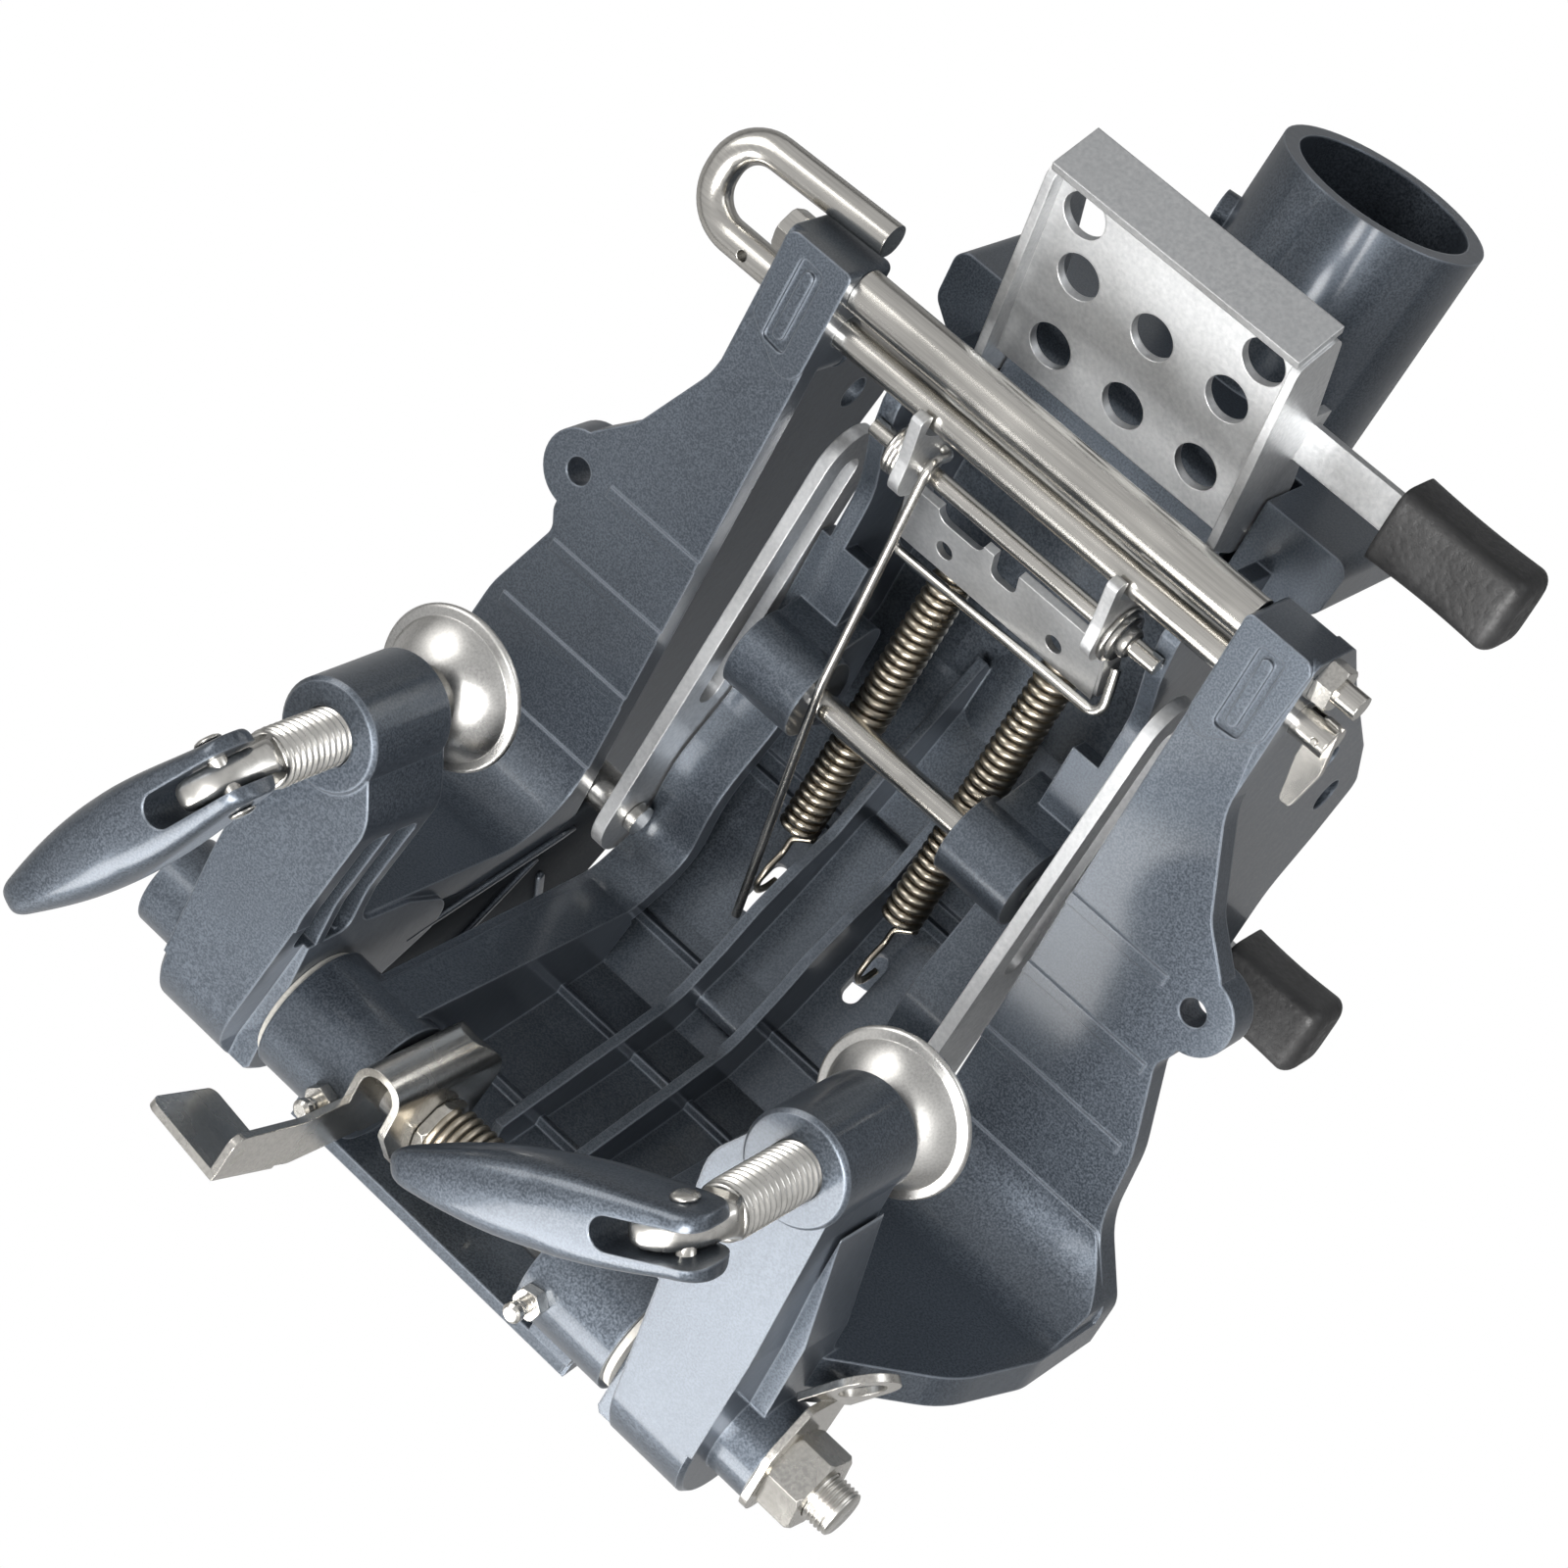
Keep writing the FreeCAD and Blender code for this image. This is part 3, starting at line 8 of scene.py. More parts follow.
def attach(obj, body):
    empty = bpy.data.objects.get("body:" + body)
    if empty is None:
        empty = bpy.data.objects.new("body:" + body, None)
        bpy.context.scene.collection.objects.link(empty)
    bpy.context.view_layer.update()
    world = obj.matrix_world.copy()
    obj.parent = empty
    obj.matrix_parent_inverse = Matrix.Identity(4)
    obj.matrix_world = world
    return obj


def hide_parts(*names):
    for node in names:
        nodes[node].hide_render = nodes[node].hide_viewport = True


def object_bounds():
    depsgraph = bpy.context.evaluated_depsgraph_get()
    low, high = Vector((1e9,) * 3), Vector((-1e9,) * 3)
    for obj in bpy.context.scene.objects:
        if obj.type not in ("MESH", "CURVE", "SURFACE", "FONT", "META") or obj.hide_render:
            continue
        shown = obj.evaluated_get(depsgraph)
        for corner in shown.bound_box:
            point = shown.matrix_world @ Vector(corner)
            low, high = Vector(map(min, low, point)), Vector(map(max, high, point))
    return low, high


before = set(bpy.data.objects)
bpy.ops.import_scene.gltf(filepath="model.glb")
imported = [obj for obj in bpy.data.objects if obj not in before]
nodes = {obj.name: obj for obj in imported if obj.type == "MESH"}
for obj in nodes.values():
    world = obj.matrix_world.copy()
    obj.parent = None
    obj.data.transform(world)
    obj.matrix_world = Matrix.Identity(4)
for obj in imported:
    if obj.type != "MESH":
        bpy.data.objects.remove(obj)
cad_box = [list(corner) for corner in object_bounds()]


# The camera looks up and aft at the bracket, which lies on its back for the photograph.
# Right, down and forward are the picture's own directions in the row frame.
def put_in_scene(name, data):
    """A new object with the given data, linked to the scene."""
    made = bpy.data.objects.new(name, data)
    bpy.context.scene.collection.objects.link(made)
    return made


right = np.array([-0.71074335, 0.56616284, -0.41749674])
down = np.array([-0.63529679, -0.26176133, 0.72655282])
forward = np.array([0.30206271, 0.78162692, 0.54572656])
camera_place = np.array([-0.3931, -1.0619, -0.7066])
eye = bpy.data.cameras.new("photograph_camera")
eye.sensor_width = 36.0
eye.lens = 104.627
eye.clip_start = 0.05
camera = put_in_scene("photograph_camera", eye)
camera.matrix_world = Matrix([
    [right[i], -down[i], -forward[i], camera_place[i]] for i in range(3)
] + [[0, 0, 0, 1]])
bpy.context.scene.camera = camera
bpy.context.scene.view_settings.view_transform = "Standard"


# Studio: soft panels round a white sweep. The sweep stands behind the bracket as the camera sees it and is
# white to the camera; the panel behind it shines through, so the bracket's back is lit too.
middle = np.array([0.0, -0.02, 0.0])


def soft_panel(name, across, above, toward, size, watts, tint):
    """A square lamp at middle + across·right - above·down - toward·forward, turned to face the middle."""
    lamp = bpy.data.lights.new(name, "AREA")
    lamp.shape = "SQUARE"
    lamp.size = size
    lamp.energy = watts
    lamp.color = tint
    holder = put_in_scene(name, lamp)
    place = middle + across * right - above * down - toward * forward
    holder.location = Vector(place)
    holder.rotation_euler = Vector(middle - place).to_track_quat("-Z", "Y").to_euler()


def larger(tree, first, second):
    """The larger of two shader values."""
    most = tree.nodes.new("ShaderNodeMath")
    most.operation = "MAXIMUM"
    tree.links.new(first, most.inputs[0])
    tree.links.new(second, most.inputs[1])
    return most.outputs[0]


soft_panel("panel_front", -0.30, -0.52, 0.80, 0.55, 16.0, (1.0, 0.99, 0.975))
soft_panel("panel_upper_left", -0.95, 0.85, 0.75, 0.8, 8.0, (1.0, 0.985, 0.96))
soft_panel("panel_right", 1.25, 0.25, 0.7, 0.7, 4.0, (0.96, 0.98, 1.0))
soft_panel("panel_back", 0.35, 0.55, -1.15, 1.0, 16.0, (0.98, 0.99, 1.0))
soft_panel("panel_lower_left", -1.10, -1.12, 0.30, 0.8, 16.0, (1.0, 0.99, 0.975))

sky = bpy.data.worlds.new("studio_air")
bpy.context.scene.world = sky
sky.use_nodes = True
air = sky.node_tree
air.nodes.clear()
air_out = air.nodes.new("ShaderNodeOutputWorld")
air_white = air.nodes.new("ShaderNodeBackground")
air_white.inputs["Color"].default_value = (1, 1, 1, 1)
air_white.inputs["Strength"].default_value = 1.0
air_soft = air.nodes.new("ShaderNodeBackground")
air_soft.inputs["Color"].default_value = (0.93, 0.96, 1.0, 1)
air_soft.inputs["Strength"].default_value = 0.14
air_mix = air.nodes.new("ShaderNodeMixShader")
air_path = air.nodes.new("ShaderNodeLightPath")
air_glossy = air.nodes.new("ShaderNodeMath")
air_glossy.operation = "MULTIPLY"
air_glossy.inputs[1].default_value = 0.5
air.links.new(air_path.outputs["Is Glossy Ray"], air_glossy.inputs[0])
air_seen = larger(air, air_path.outputs["Is Camera Ray"], air_path.outputs["Is Transmission Ray"])
air.links.new(larger(air, air_seen, air_glossy.outputs[0]), air_mix.inputs["Fac"])
air.links.new(air_soft.outputs[0], air_mix.inputs[1])
air.links.new(air_white.outputs[0], air_mix.inputs[2])
air.links.new(air_mix.outputs[0], air_out.inputs["Surface"])

corners = np.array(list(itertools.product(*zip(*cad_box))))
sweep_gap = 0.01
sweep_half = 3.0
depth = float(((corners - middle) @ forward).max()) + sweep_gap
sweep_middle = middle + depth * forward
sweep_signs = ((-1, -1), (-1, 1), (1, 1), (1, -1))
sweep_corners = [tuple(sweep_middle + sweep_half * (a * right + b * down)) for a, b in sweep_signs]
sweep_mesh = bpy.data.meshes.new("white_sweep")
sweep_mesh.from_pydata(sweep_corners, [], [(0, 1, 2, 3)])
white_sweep = put_in_scene("white_sweep", sweep_mesh)
sweep_paint = bpy.data.materials.new("white_sweep_paper")
sweep_paint.use_nodes = True
paper = sweep_paint.node_tree
paper.nodes.clear()
paper_out = paper.nodes.new("ShaderNodeOutputMaterial")
paper_glow = paper.nodes.new("ShaderNodeEmission")
paper_glow.inputs["Color"].default_value = (1, 1, 1, 1)
paper_glow.inputs["Strength"].default_value = 1.0
paper_matt = paper.nodes.new("ShaderNodeBsdfDiffuse")
paper_matt.inputs["Color"].default_value = (0.35, 0.35, 0.35, 1)
paper_clear = paper.nodes.new("ShaderNodeBsdfTransparent")
paper_path = paper.nodes.new("ShaderNodeLightPath")
paper_side = paper.nodes.new("ShaderNodeNewGeometry")
paper_front = paper.nodes.new("ShaderNodeMixShader")
paper_both = paper.nodes.new("ShaderNodeMixShader")
paper.links.new(paper_path.outputs["Is Camera Ray"], paper_front.inputs["Fac"])
paper.links.new(paper_matt.outputs[0], paper_front.inputs[1])
paper.links.new(paper_glow.outputs[0], paper_front.inputs[2])
paper_open = larger(paper, paper_side.outputs["Backfacing"], paper_path.outputs["Is Shadow Ray"])
paper.links.new(paper_open, paper_both.inputs["Fac"])
paper.links.new(paper_front.outputs[0], paper_both.inputs[1])
paper.links.new(paper_clear.outputs[0], paper_both.inputs[2])
paper.links.new(paper_both.outputs[0], paper_out.inputs["Surface"])
white_sweep.data.materials.append(sweep_paint)


# Castings: the two clamp brackets and the swivel bracket between them.
# Die-cast aluminium under a blue-grey metallic paint, slightly rough from the mould; its corners get a painted
# highlight.
def blank_finish(name):
    """A material with a surface shader wired to its output, its node tree, that shader and its coordinates."""
    finish = bpy.data.materials.new(name)
    finish.use_nodes = True
    tree = finish.node_tree
    tree.nodes.clear()
    out = tree.nodes.new("ShaderNodeOutputMaterial")
    skin = tree.nodes.new("ShaderNodeBsdfPrincipled")
    tree.links.new(skin.outputs["BSDF"], out.inputs["Surface"])
    place = tree.nodes.new("ShaderNodeTexCoord")
    return finish, tree, skin, place


def grain(tree, place, scale, detail, stretch=(1, 1, 1)):
    """Noise on object coordinates, finer for a larger scale, drawn out along an axis whose stretch is small."""
    mapping = tree.nodes.new("ShaderNodeMapping")
    mapping.inputs["Scale"].default_value = stretch
    noise = tree.nodes.new("ShaderNodeTexNoise")
    noise.inputs["Scale"].default_value = scale
    noise.inputs["Detail"].default_value = detail
    tree.links.new(place.outputs["Object"], mapping.inputs["Vector"])
    tree.links.new(mapping.outputs[0], noise.inputs["Vector"])
    return noise


def spread(tree, source, low, high, start=0.35, end=0.65):
    """A ramp from low to high, each a grey level or a colour, as the source's value goes from start to end."""
    ramp = tree.nodes.new("ShaderNodeValToRGB")
    ramp.color_ramp.elements[0].position = start
    ramp.color_ramp.elements[1].position = end
    for stop, value in zip(ramp.color_ramp.elements, (low, high)):
        stop.color = (value, value, value, 1) if isinstance(value, float) else (*value, 1)
    tree.links.new(source, ramp.inputs["Fac"])
    return ramp


def rounded_edges(tree, skin, radius, bump_height, bump_depth):
    """The normal: corners rounded over the radius, then bumped; the rounding node is given back."""
    bevel = tree.nodes.new("ShaderNodeBevel")
    bevel.samples = 4
    bevel.inputs["Radius"].default_value = radius
    bump = tree.nodes.new("ShaderNodeBump")
    bump.inputs["Strength"].default_value = 1.0
    bump.inputs["Distance"].default_value = bump_depth
    tree.links.new(bump_height, bump.inputs["Height"])
    tree.links.new(bevel.outputs[0], bump.inputs["Normal"])
    tree.links.new(bump.outputs[0], skin.inputs["Normal"])
    return bevel


def edge_mask(tree, bevel, start, end):
    """1 at a corner and 0 on a flat: how far the rounded normal has turned from the true one."""
    shape = tree.nodes.new("ShaderNodeNewGeometry")
    dot = tree.nodes.new("ShaderNodeVectorMath")
    dot.operation = "DOT_PRODUCT"
    tree.links.new(bevel.outputs[0], dot.inputs[0])
    tree.links.new(shape.outputs["Normal"], dot.inputs[1])
    return spread(tree, dot.outputs["Value"], 1.0, 0.0, start, end)


def blended(tree, factor, low, high, mode="MIX"):
    """A colour mix; low and high are sockets or colours."""
    mix = tree.nodes.new("ShaderNodeMix")
    mix.data_type = "RGBA"
    mix.blend_type = mode
    for key, value in (("A", low), ("B", high)):
        socket = [s for s in mix.inputs if s.name == key and s.type == "RGBA"][0]
        if isinstance(value, tuple):
            socket.default_value = (*value, 1)
        else:
            tree.links.new(value, socket)
    fac = [s for s in mix.inputs if s.name == "Factor" and s.type == "VALUE"][0]
    if isinstance(factor, float):
        fac.default_value = factor
    else:
        tree.links.new(factor, fac)
    return [s for s in mix.outputs if s.type == "RGBA"][0]


def metallic_paint(name, shade, dull, coat):
    """Blue-grey paint with fine metal flake, mould waviness and corners paled as a painted highlight: shade
    scales its colour, dull is added to its roughness and coat is the weight of its clear coat."""
    finish, tree, skin, place = blank_finish(name)
    flake = grain(tree, place, 1500.0, 3.0)
    cloud = grain(tree, place, 16.0, 3.0)
    flake_tint = spread(tree, flake.outputs["Fac"], tuple(shade * t for t in (0.066, 0.080, 0.100)),
                        tuple(shade * t for t in (0.122, 0.143, 0.172)), 0.38, 0.64)
    cloud_tint = spread(tree, cloud.outputs["Fac"], 0.86, 1.0)
    colour = blended(tree, 1.0, flake_tint.outputs[0], cloud_tint.outputs[0], "MULTIPLY")
    wave = grain(tree, place, 230.0, 4.0)
    bevel = rounded_edges(tree, skin, 0.0012, wave.outputs["Fac"], 0.00012)
    # Painted highlight: the colour is lightened toward a paler blue-grey on the corners.
    painted_highlight_mask = edge_mask(tree, bevel, 0.80, 0.985)
    colour = blended(tree, painted_highlight_mask.outputs[0], colour, tuple(shade * t for t in (0.30, 0.335, 0.385)))
    tree.links.new(colour, skin.inputs["Base Color"])
    gloss = spread(tree, flake.outputs["Fac"], 0.32 + dull, 0.48 + dull)
    tree.links.new(gloss.outputs[0], skin.inputs["Roughness"])
    skin.inputs["Metallic"].default_value = 0.70
    skin.inputs["Coat Weight"].default_value = coat
    skin.inputs["Coat Roughness"].default_value = 0.14
    return finish


def dress(finish, *names):
    """One finish on whole CAD nodes."""
    for name in names:
        mesh = nodes[name].data
        mesh.materials.clear()
        mesh.materials.append(finish)


casting_paint = metallic_paint("blue_grey_metallic_paint", 1.0, 0.0, 0.55)
dress(casting_paint, "clamp_bracket_port", "clamp_bracket_starboard", "swivel_bracket")


# Wing handles of the two clamp screws, folded out to the side.
# Die-cast like the brackets and painted with them; each root is slotted and straddles the screw's flat eye.
def oval_rings(centre, across, above, half_across, half_above, power, sides):
    """Rings of squarish ovals: centre + half_across·c·across + half_above·s·above, where c and s are cos v and
    sin v raised to 2/power with their signs kept; power 2 is an ellipse and a higher one has flatter sides."""
    across = np.broadcast_to(across, centre.shape)
    above = np.broadcast_to(above, centre.shape)
    v = np.linspace(0, 2 * math.pi, sides, endpoint=False)
    bend = 2.0 / np.broadcast_to(power, (len(centre),))[:, None]
    c = np.sign(np.cos(v)) * np.abs(np.cos(v)) ** bend
    s = np.sign(np.sin(v)) * np.abs(np.sin(v)) ** bend
    return (centre[:, None, :] + (half_across[:, None] * c)[..., None] * across[:, None, :]
            + (half_above[:, None] * s)[..., None] * above[:, None, :])


def skin_of(grids):
    """Vertices and faces of tubes: quads between neighbouring rings and fans to a point at each end; a tube
    whose last ring is its first one again is joined to itself instead."""
    vertices = []
    faces = []
    start = 0
    for grid in grids:
        looped = np.allclose(grid[0], grid[-1])
        if looped:
            grid = grid[:-1]
        rings, sides = grid.shape[:2]
        index = start + np.arange(rings * sides).reshape(rings, sides)
        after = np.roll(index, -1, axis=1)
        if looped:
            quads = [index, after, np.roll(after, -1, axis=0), np.roll(index, -1, axis=0)]
        else:
            quads = [index[:-1], after[:-1], after[1:], index[1:]]
        faces.extend(np.stack(quads, axis=-1).reshape(-1, 4).tolist())
        vertices.append(grid.reshape(-1, 3))
        start += rings * sides
        if not looped:
            pole = np.full(sides, start)
            faces.extend(np.stack([pole, after[0], index[0]], axis=-1).tolist())
            faces.extend(np.stack([pole + 1, index[-1], after[-1]], axis=-1).tolist())
            vertices.append(grid[[0, -1]].mean(axis=1))
            start += 2
    return np.concatenate(vertices), faces


def mesh_from(name, grids):
    """A mesh of the skins of the tubes."""
    vertices, faces = skin_of(grids)
    mesh = bpy.data.meshes.new(name)
    mesh.from_pydata(vertices.tolist(), [], faces)
    return mesh


def piece_from(name, grids, finish, body, slot, *replaced):
    """A smooth-shaded piece from ring grids that rides on a body and stands for CAD nodes, which it hides; the
    slot is not used.
    """
    mesh = mesh_from(name, grids)
    mesh.polygons.foreach_set("use_smooth", np.ones(len(mesh.polygons), dtype=bool))
    mesh.materials.append(finish)
    mesh.update()
    piece = put_in_scene(name, mesh)
    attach(piece, body)
    if replaced:
        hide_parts(*replaced)
    return piece


def curve_through(at, values, u):
    """The polynomial of lowest degree through the given values, evaluated at u."""
    return np.polyval(np.polyfit(at, values, len(at) - 1), u)


def cut_out(piece, grid):
    """Takes the closed tube of rings out of a piece for good, then marks its hard edges."""
    cutter = put_in_scene("handle_slot_cutter", mesh_from("handle_slot_cutter", [grid]))
    step = piece.modifiers.new("slot", "BOOLEAN")
    step.operation = "DIFFERENCE"
    step.solver = "EXACT"
    step.object = cutter
    bpy.context.view_layer.update()
    made = bpy.data.meshes.new_from_object(piece.evaluated_get(bpy.context.evaluated_depsgraph_get()))
    piece.modifiers.remove(step)
    piece.data = made
    bpy.data.objects.remove(cutter)
    made.set_sharp_from_angle(angle=math.radians(40))


def handle_frame(side, turn, pin_y):
    """Directions along the handle and across it, turned up about the screw's axis, and the place of its pin."""
    out = np.array([math.cos(turn), 0, math.sin(turn)])
    up = np.array([-math.sin(turn), 0, math.cos(turn)])
    return out, up, np.array([side * screw_x, pin_y, screw_z])


# side: sign of x, turn about the screw's axis, and y of the handle's pin and of the pad's seat
clamp_sides = {
    "port": (1, math.radians(63.5), -0.176, -0.085),
    "starboard": (-1, math.radians(30.0), -0.183, -0.092),
}
screw_x = 0.092
screw_z = 0.034
slot_half = 5.3
mm = 0.001
along_x = np.array([1.0, 0, 0])
aft = np.array([0.0, 1.0, 0.0])
upright = np.array([0.0, 0, 1.0])
for label, (side, turn, pin_y, _) in clamp_sides.items():
    out, up, pin_place = handle_frame(side, turn, pin_y)
    u = -10.48 + 101.4 * (0.5 - 0.5 * np.cos(np.linspace(0, math.pi, 96)))
    root = (1 - (np.clip(-u, 0, 10.5) / 10.5) ** 3) ** (1 / 3)
    tip = (1 - np.clip((u - 84) / 7.0, 0, 1) ** 2.8) ** (1 / 2.8)
    low = curve_through([0, 20, 74, 91], [-10.5, -12.8, -13.7, -11.0], np.maximum(u, 0))
    high = curve_through([0, 10.5, 55, 91], [10.4, 10, 6.2, -4.6], np.maximum(u, 0))
    half_deep = 0.5 * (high - low) * root * tip
    half_high = curve_through([-10.5, 18, 48, 77, 91], [10, 12, 12.7, 8.0, 4.6], u)
    half_high = half_high * (0.93 + 0.07 * root) * (0.35 + 0.65 * tip)
    spine = pin_place + mm * (u[:, None] * out + (0.5 * (high + low))[:, None] * aft)
    squareness = np.interp(u, [8, 42], [5.0, 2.7])
    handle = piece_from("wing_handle_" + label, [
        oval_rings(spine, aft, up, mm * half_deep, mm * half_high, squareness, 56),
    ], casting_paint, label + "_handle", "casting_paint", "clamp_handle_" + label)
    v = np.linspace(0, 2 * math.pi, 64, endpoint=False)
    slot_u = np.where(np.cos(v) > 0, 16.5, -14.0) + slot_half * np.cos(v)
    slot_z = slot_half * np.sin(v)
    slot_ring = mm * (slot_z[:, None] * up + slot_u[:, None] * out)
    cut_out(handle, np.stack([pin_place + 0.022 * t * aft + slot_ring[::-1] for t in (-1.0, 1.0)]))


# Lattice walls on the inner edge of each saddle, cast in one with the bracket.
# Thin crossing ribs, painted like the bracket, stand on a wall that closes the space beside the slotted arm; the
# wall's paint is dull, and darkened as painted shade of the recess.
def rib_path(a, b, count=14):
    """Points evenly from a to b, ends included."""
    return np.array(a) + np.linspace(0, 1, count)[:, None] * (np.array(b) - np.array(a))


rib_x = 0.0749
rib_half_thick = 0.0010
rib_ends = (((-62, 127.5), (10, 107.5), 1.3), ((-31, 146.5), (-4, 115.5), 1.1), ((18, 151), (4, 125), 1.6))
# Painted shade: the wall's paint is the casting paint darkened to 0.30 of its colour, without clear coat.
shade_darkened_paint = metallic_paint("dull_paint_darkened_as_shade", 0.30, 0.40, 0.0)
for label, side in (("port", 1), ("starboard", -1)):
    edge = mm * np.array([(-80, 117), (-80, 146), (-64, 150), (-30, 151), (0, 153), (18, 154), (31, 149),
                          (44, 128), (47, 112), (38, 99), (20, 97), (4, 106), (-6, 116), (-40, 117)])
    if side > 0:
        edge = edge[::-1]
    places = side * mm * np.array([75.6, 76.0, 79.0, 79.3])
    wall = np.stack([np.stack([np.full(len(edge), x), edge[:, 0], edge[:, 1]], axis=1) for x in places])
    centre = wall.mean(axis=1, keepdims=True)
    wall[[0, 3]] = centre[[0, 3]] + 0.985 * (wall[[0, 3]] - centre[[0, 3]])
    ribs = []
    for (y0, z0), (y1, z1), wide in rib_ends:
        run = rib_path((side * rib_x, mm * y0, mm * z0), (side * rib_x, mm * y1, mm * z1))
        along = (run[-1] - run[0]) / np.linalg.norm(run[-1] - run[0])
        half_thick = np.full(len(run), rib_half_thick)
        half_wide = np.full(len(run), mm * wide)
        half_wide[[0, -1]] *= 0.5
        ribs.append(oval_rings(run, along_x, np.cross(along, along_x), half_thick, half_wide, 3.0, 16))
    piece_from("saddle_inner_wall_" + label, [wall], shade_darkened_paint, "mount", "casting_paint")
    piece_from("saddle_lattice_" + label, ribs, casting_paint, "mount", "casting_paint")


# Bright steel: shafts, pins, bolts, nuts, clamp pads, grease nipples, rope plate, release rod and lever.
# Stainless steel; fine drawn lines run along the bars that lie across the boat, and the rest has an even
# grain.
def bright_steel(name, tint, rough, stretch, lines=900.0, edge=0.0005):
    """Bright steel, drawn in lines along the axis whose stretch is small, or evenly grained if all are 1."""
    finish, tree, skin, place = blank_finish(name)
    line = grain(tree, place, lines, 3.0, stretch)
    smear = grain(tree, place, 45.0, 3.0)
    dark = tuple(0.80 * t for t in tint)
    colour = spread(tree, line.outputs["Fac"], dark, tint, 0.3, 0.62)
    smeared = spread(tree, smear.outputs["Fac"], 0.0, 0.35, 0.45, 0.75)
    colour = blended(tree, smeared.outputs[0], colour.outputs[0], dark)
    tree.links.new(colour, skin.inputs["Base Color"])
    gloss = spread(tree, smear.outputs["Fac"], rough * 0.8, rough * 1.35, 0.35, 0.7)
    tree.links.new(gloss.outputs[0], skin.inputs["Roughness"])
    rounded_edges(tree, skin, edge, line.outputs["Fac"], 0.00001)
    skin.inputs["Metallic"].default_value = 1.0
    return finish


steel_tint = (0.66, 0.64, 0.60)
steel_along_x = bright_steel("stainless_drawn_across", steel_tint, 0.20, (0.04, 1, 1))
steel_plain = bright_steel("stainless_plain", steel_tint, 0.24, (1, 1, 1))
steel_brushed = bright_steel("stainless_brushed_pad", (0.62, 0.61, 0.59), 0.32, (1, 1, 1), 1400.0)
steel_cut = bright_steel("stainless_cut_thread", (0.68, 0.665, 0.63), 0.26, (1, 1, 1), 300.0, 0.00005)
dress(steel_along_x, "stay_tube", "tilt_pin", "cross_shaft", "lock_shaft", "tray_pivot_pin", "stay_bolt",
      "lock_bail")
dress(steel_plain, "tilt_bolt_nut", "safety_rope_plate", "grease_nipples", "stay_bolt_nut", "tilt_pin_latch",
      "latch_rivet", "arm_pivot_bolts", "release_rod", "release_lever", "side_lever_rivet", "lever_spacer")
dress(steel_brushed, "clamp_pad_port", "clamp_pad_starboard")


# Clamp screws with the handles' pins: stainless bar with a rolled thread, a ball under the pad and a flat eye.
# Each pin goes through the eye and both sides of the handle's root and is headed over at its ends.
thread_sides = 36


def turned_rings(origin, axis, across, above, along, radius, sides=thread_sides):
    """Rings of a turned shape: origin + along·axis + radius·(cos v·across + sin v·above), where the radius may
    differ round a ring."""
    v = np.linspace(0, 2 * math.pi, sides, endpoint=False)
    circle = np.cos(v)[:, None] * across + np.sin(v)[:, None] * above
    radius = np.broadcast_to(np.asarray(radius).reshape(len(along), -1), (len(along), sides))
    return origin + along[:, None, None] * axis + radius[..., None] * circle


def thread_radius(along, crest, deep, pitch):
    """Radius of a right-hand thread: crest less deep times a triangle wave of along/pitch - v/2π, which fades
    over one pitch at both ends to half of deep."""
    v = np.linspace(0, 2 * math.pi, thread_sides, endpoint=False)
    wave = (along[:, None] - along[0]) / pitch - v / (2 * math.pi)
    valley = 1 - np.abs(2 * (wave % 1.0) - 1)
    ends = np.minimum(along - along.min(), along.max() - along)
    full = np.clip(ends / pitch, 0, 1)[:, None]
    return crest - deep * valley * full - 0.5 * deep * (1 - full)


ball_r = 0.0055
screw_pitch = 0.0025
rings_per_pitch = 10
thread_start = 0.0095
for label, (side, turn, pin_y, seat_y) in clamp_sides.items():
    out, up, pin_place = handle_frame(side, turn, pin_y)
    ball = np.array([side * screw_x, seat_y + 0.001, screw_z])
    end = seat_y + 0.001 - (pin_y + 0.016)
    swing = np.linspace(0.12, 1.95, 10)
    stem_at = np.linspace(thread_start, end - 0.0002, int((end - thread_start) / screw_pitch * rings_per_pitch))
    at = np.concatenate([-ball_r * np.cos(swing), [0.0021, 0.0024, 0.0088, 0.0090], stem_at, [end]])
    plain = np.concatenate([ball_r * np.sin(swing), [0.0066, 0.0070, 0.0070, 0.0077]])
    radius = np.concatenate([np.repeat(plain[:, None], thread_sides, 1),
                             thread_radius(stem_at, 0.0090, 0.0013, screw_pitch),
                             np.full((1, thread_sides), 0.0072)])
    stem = turned_rings(ball, -aft, out, up, at, radius)
    eye_line = np.array([[0, 17], [0, 13], [0.2, 9], [0.9, 5], [2.4, 2.0], [4.6, -0.2], [7.2, -1.6],
                         [9.8, -2.4], [12.2, -2.8], [13.6, -2.9], [14.3, -2.9]])
    eye_path = pin_place + mm * (eye_line[:, :1] * out + eye_line[:, 1:] * aft)
    tangent = np.gradient(eye_path, axis=0)
    tangent /= np.linalg.norm(tangent, axis=1)[:, None]
    wide = mm * np.array([7.6, 7.4, 6.6, 6.2, 6.4, 6.8, 6.8, 6.4, 5.4, 4.0, 2.0])
    thick = mm * np.array([7.6, 5.2, 5.0, 4.9, 4.9, 4.9, 4.9, 4.8, 4.4, 3.6, 2.0])
    eye_rings = oval_rings(eye_path, np.cross(up, tangent), up, wide, thick, 3.2, 36)
    piece_from("clamp_screw_thread_" + label, [stem, eye_rings], steel_cut, label + "_screw", "stainless_steel",
               "clamp_screw_" + label)
    head_at = mm * np.array([-12.0, -11.9, -11.4, -10.7, -10.6, 10.6, 10.7, 11.4, 11.9, 12.0])
    head_r = mm * np.array([0.6, 2.4, 3.7, 4.2, 3.0, 3.0, 4.2, 3.7, 2.4, 0.6])
    piece_from("handle_hinge_pin_" + label, [
        turned_rings(pin_place, up, aft, out, head_at, head_r),
    ], steel_plain, label + "_screw", "stainless_steel", "handle_pin_" + label)


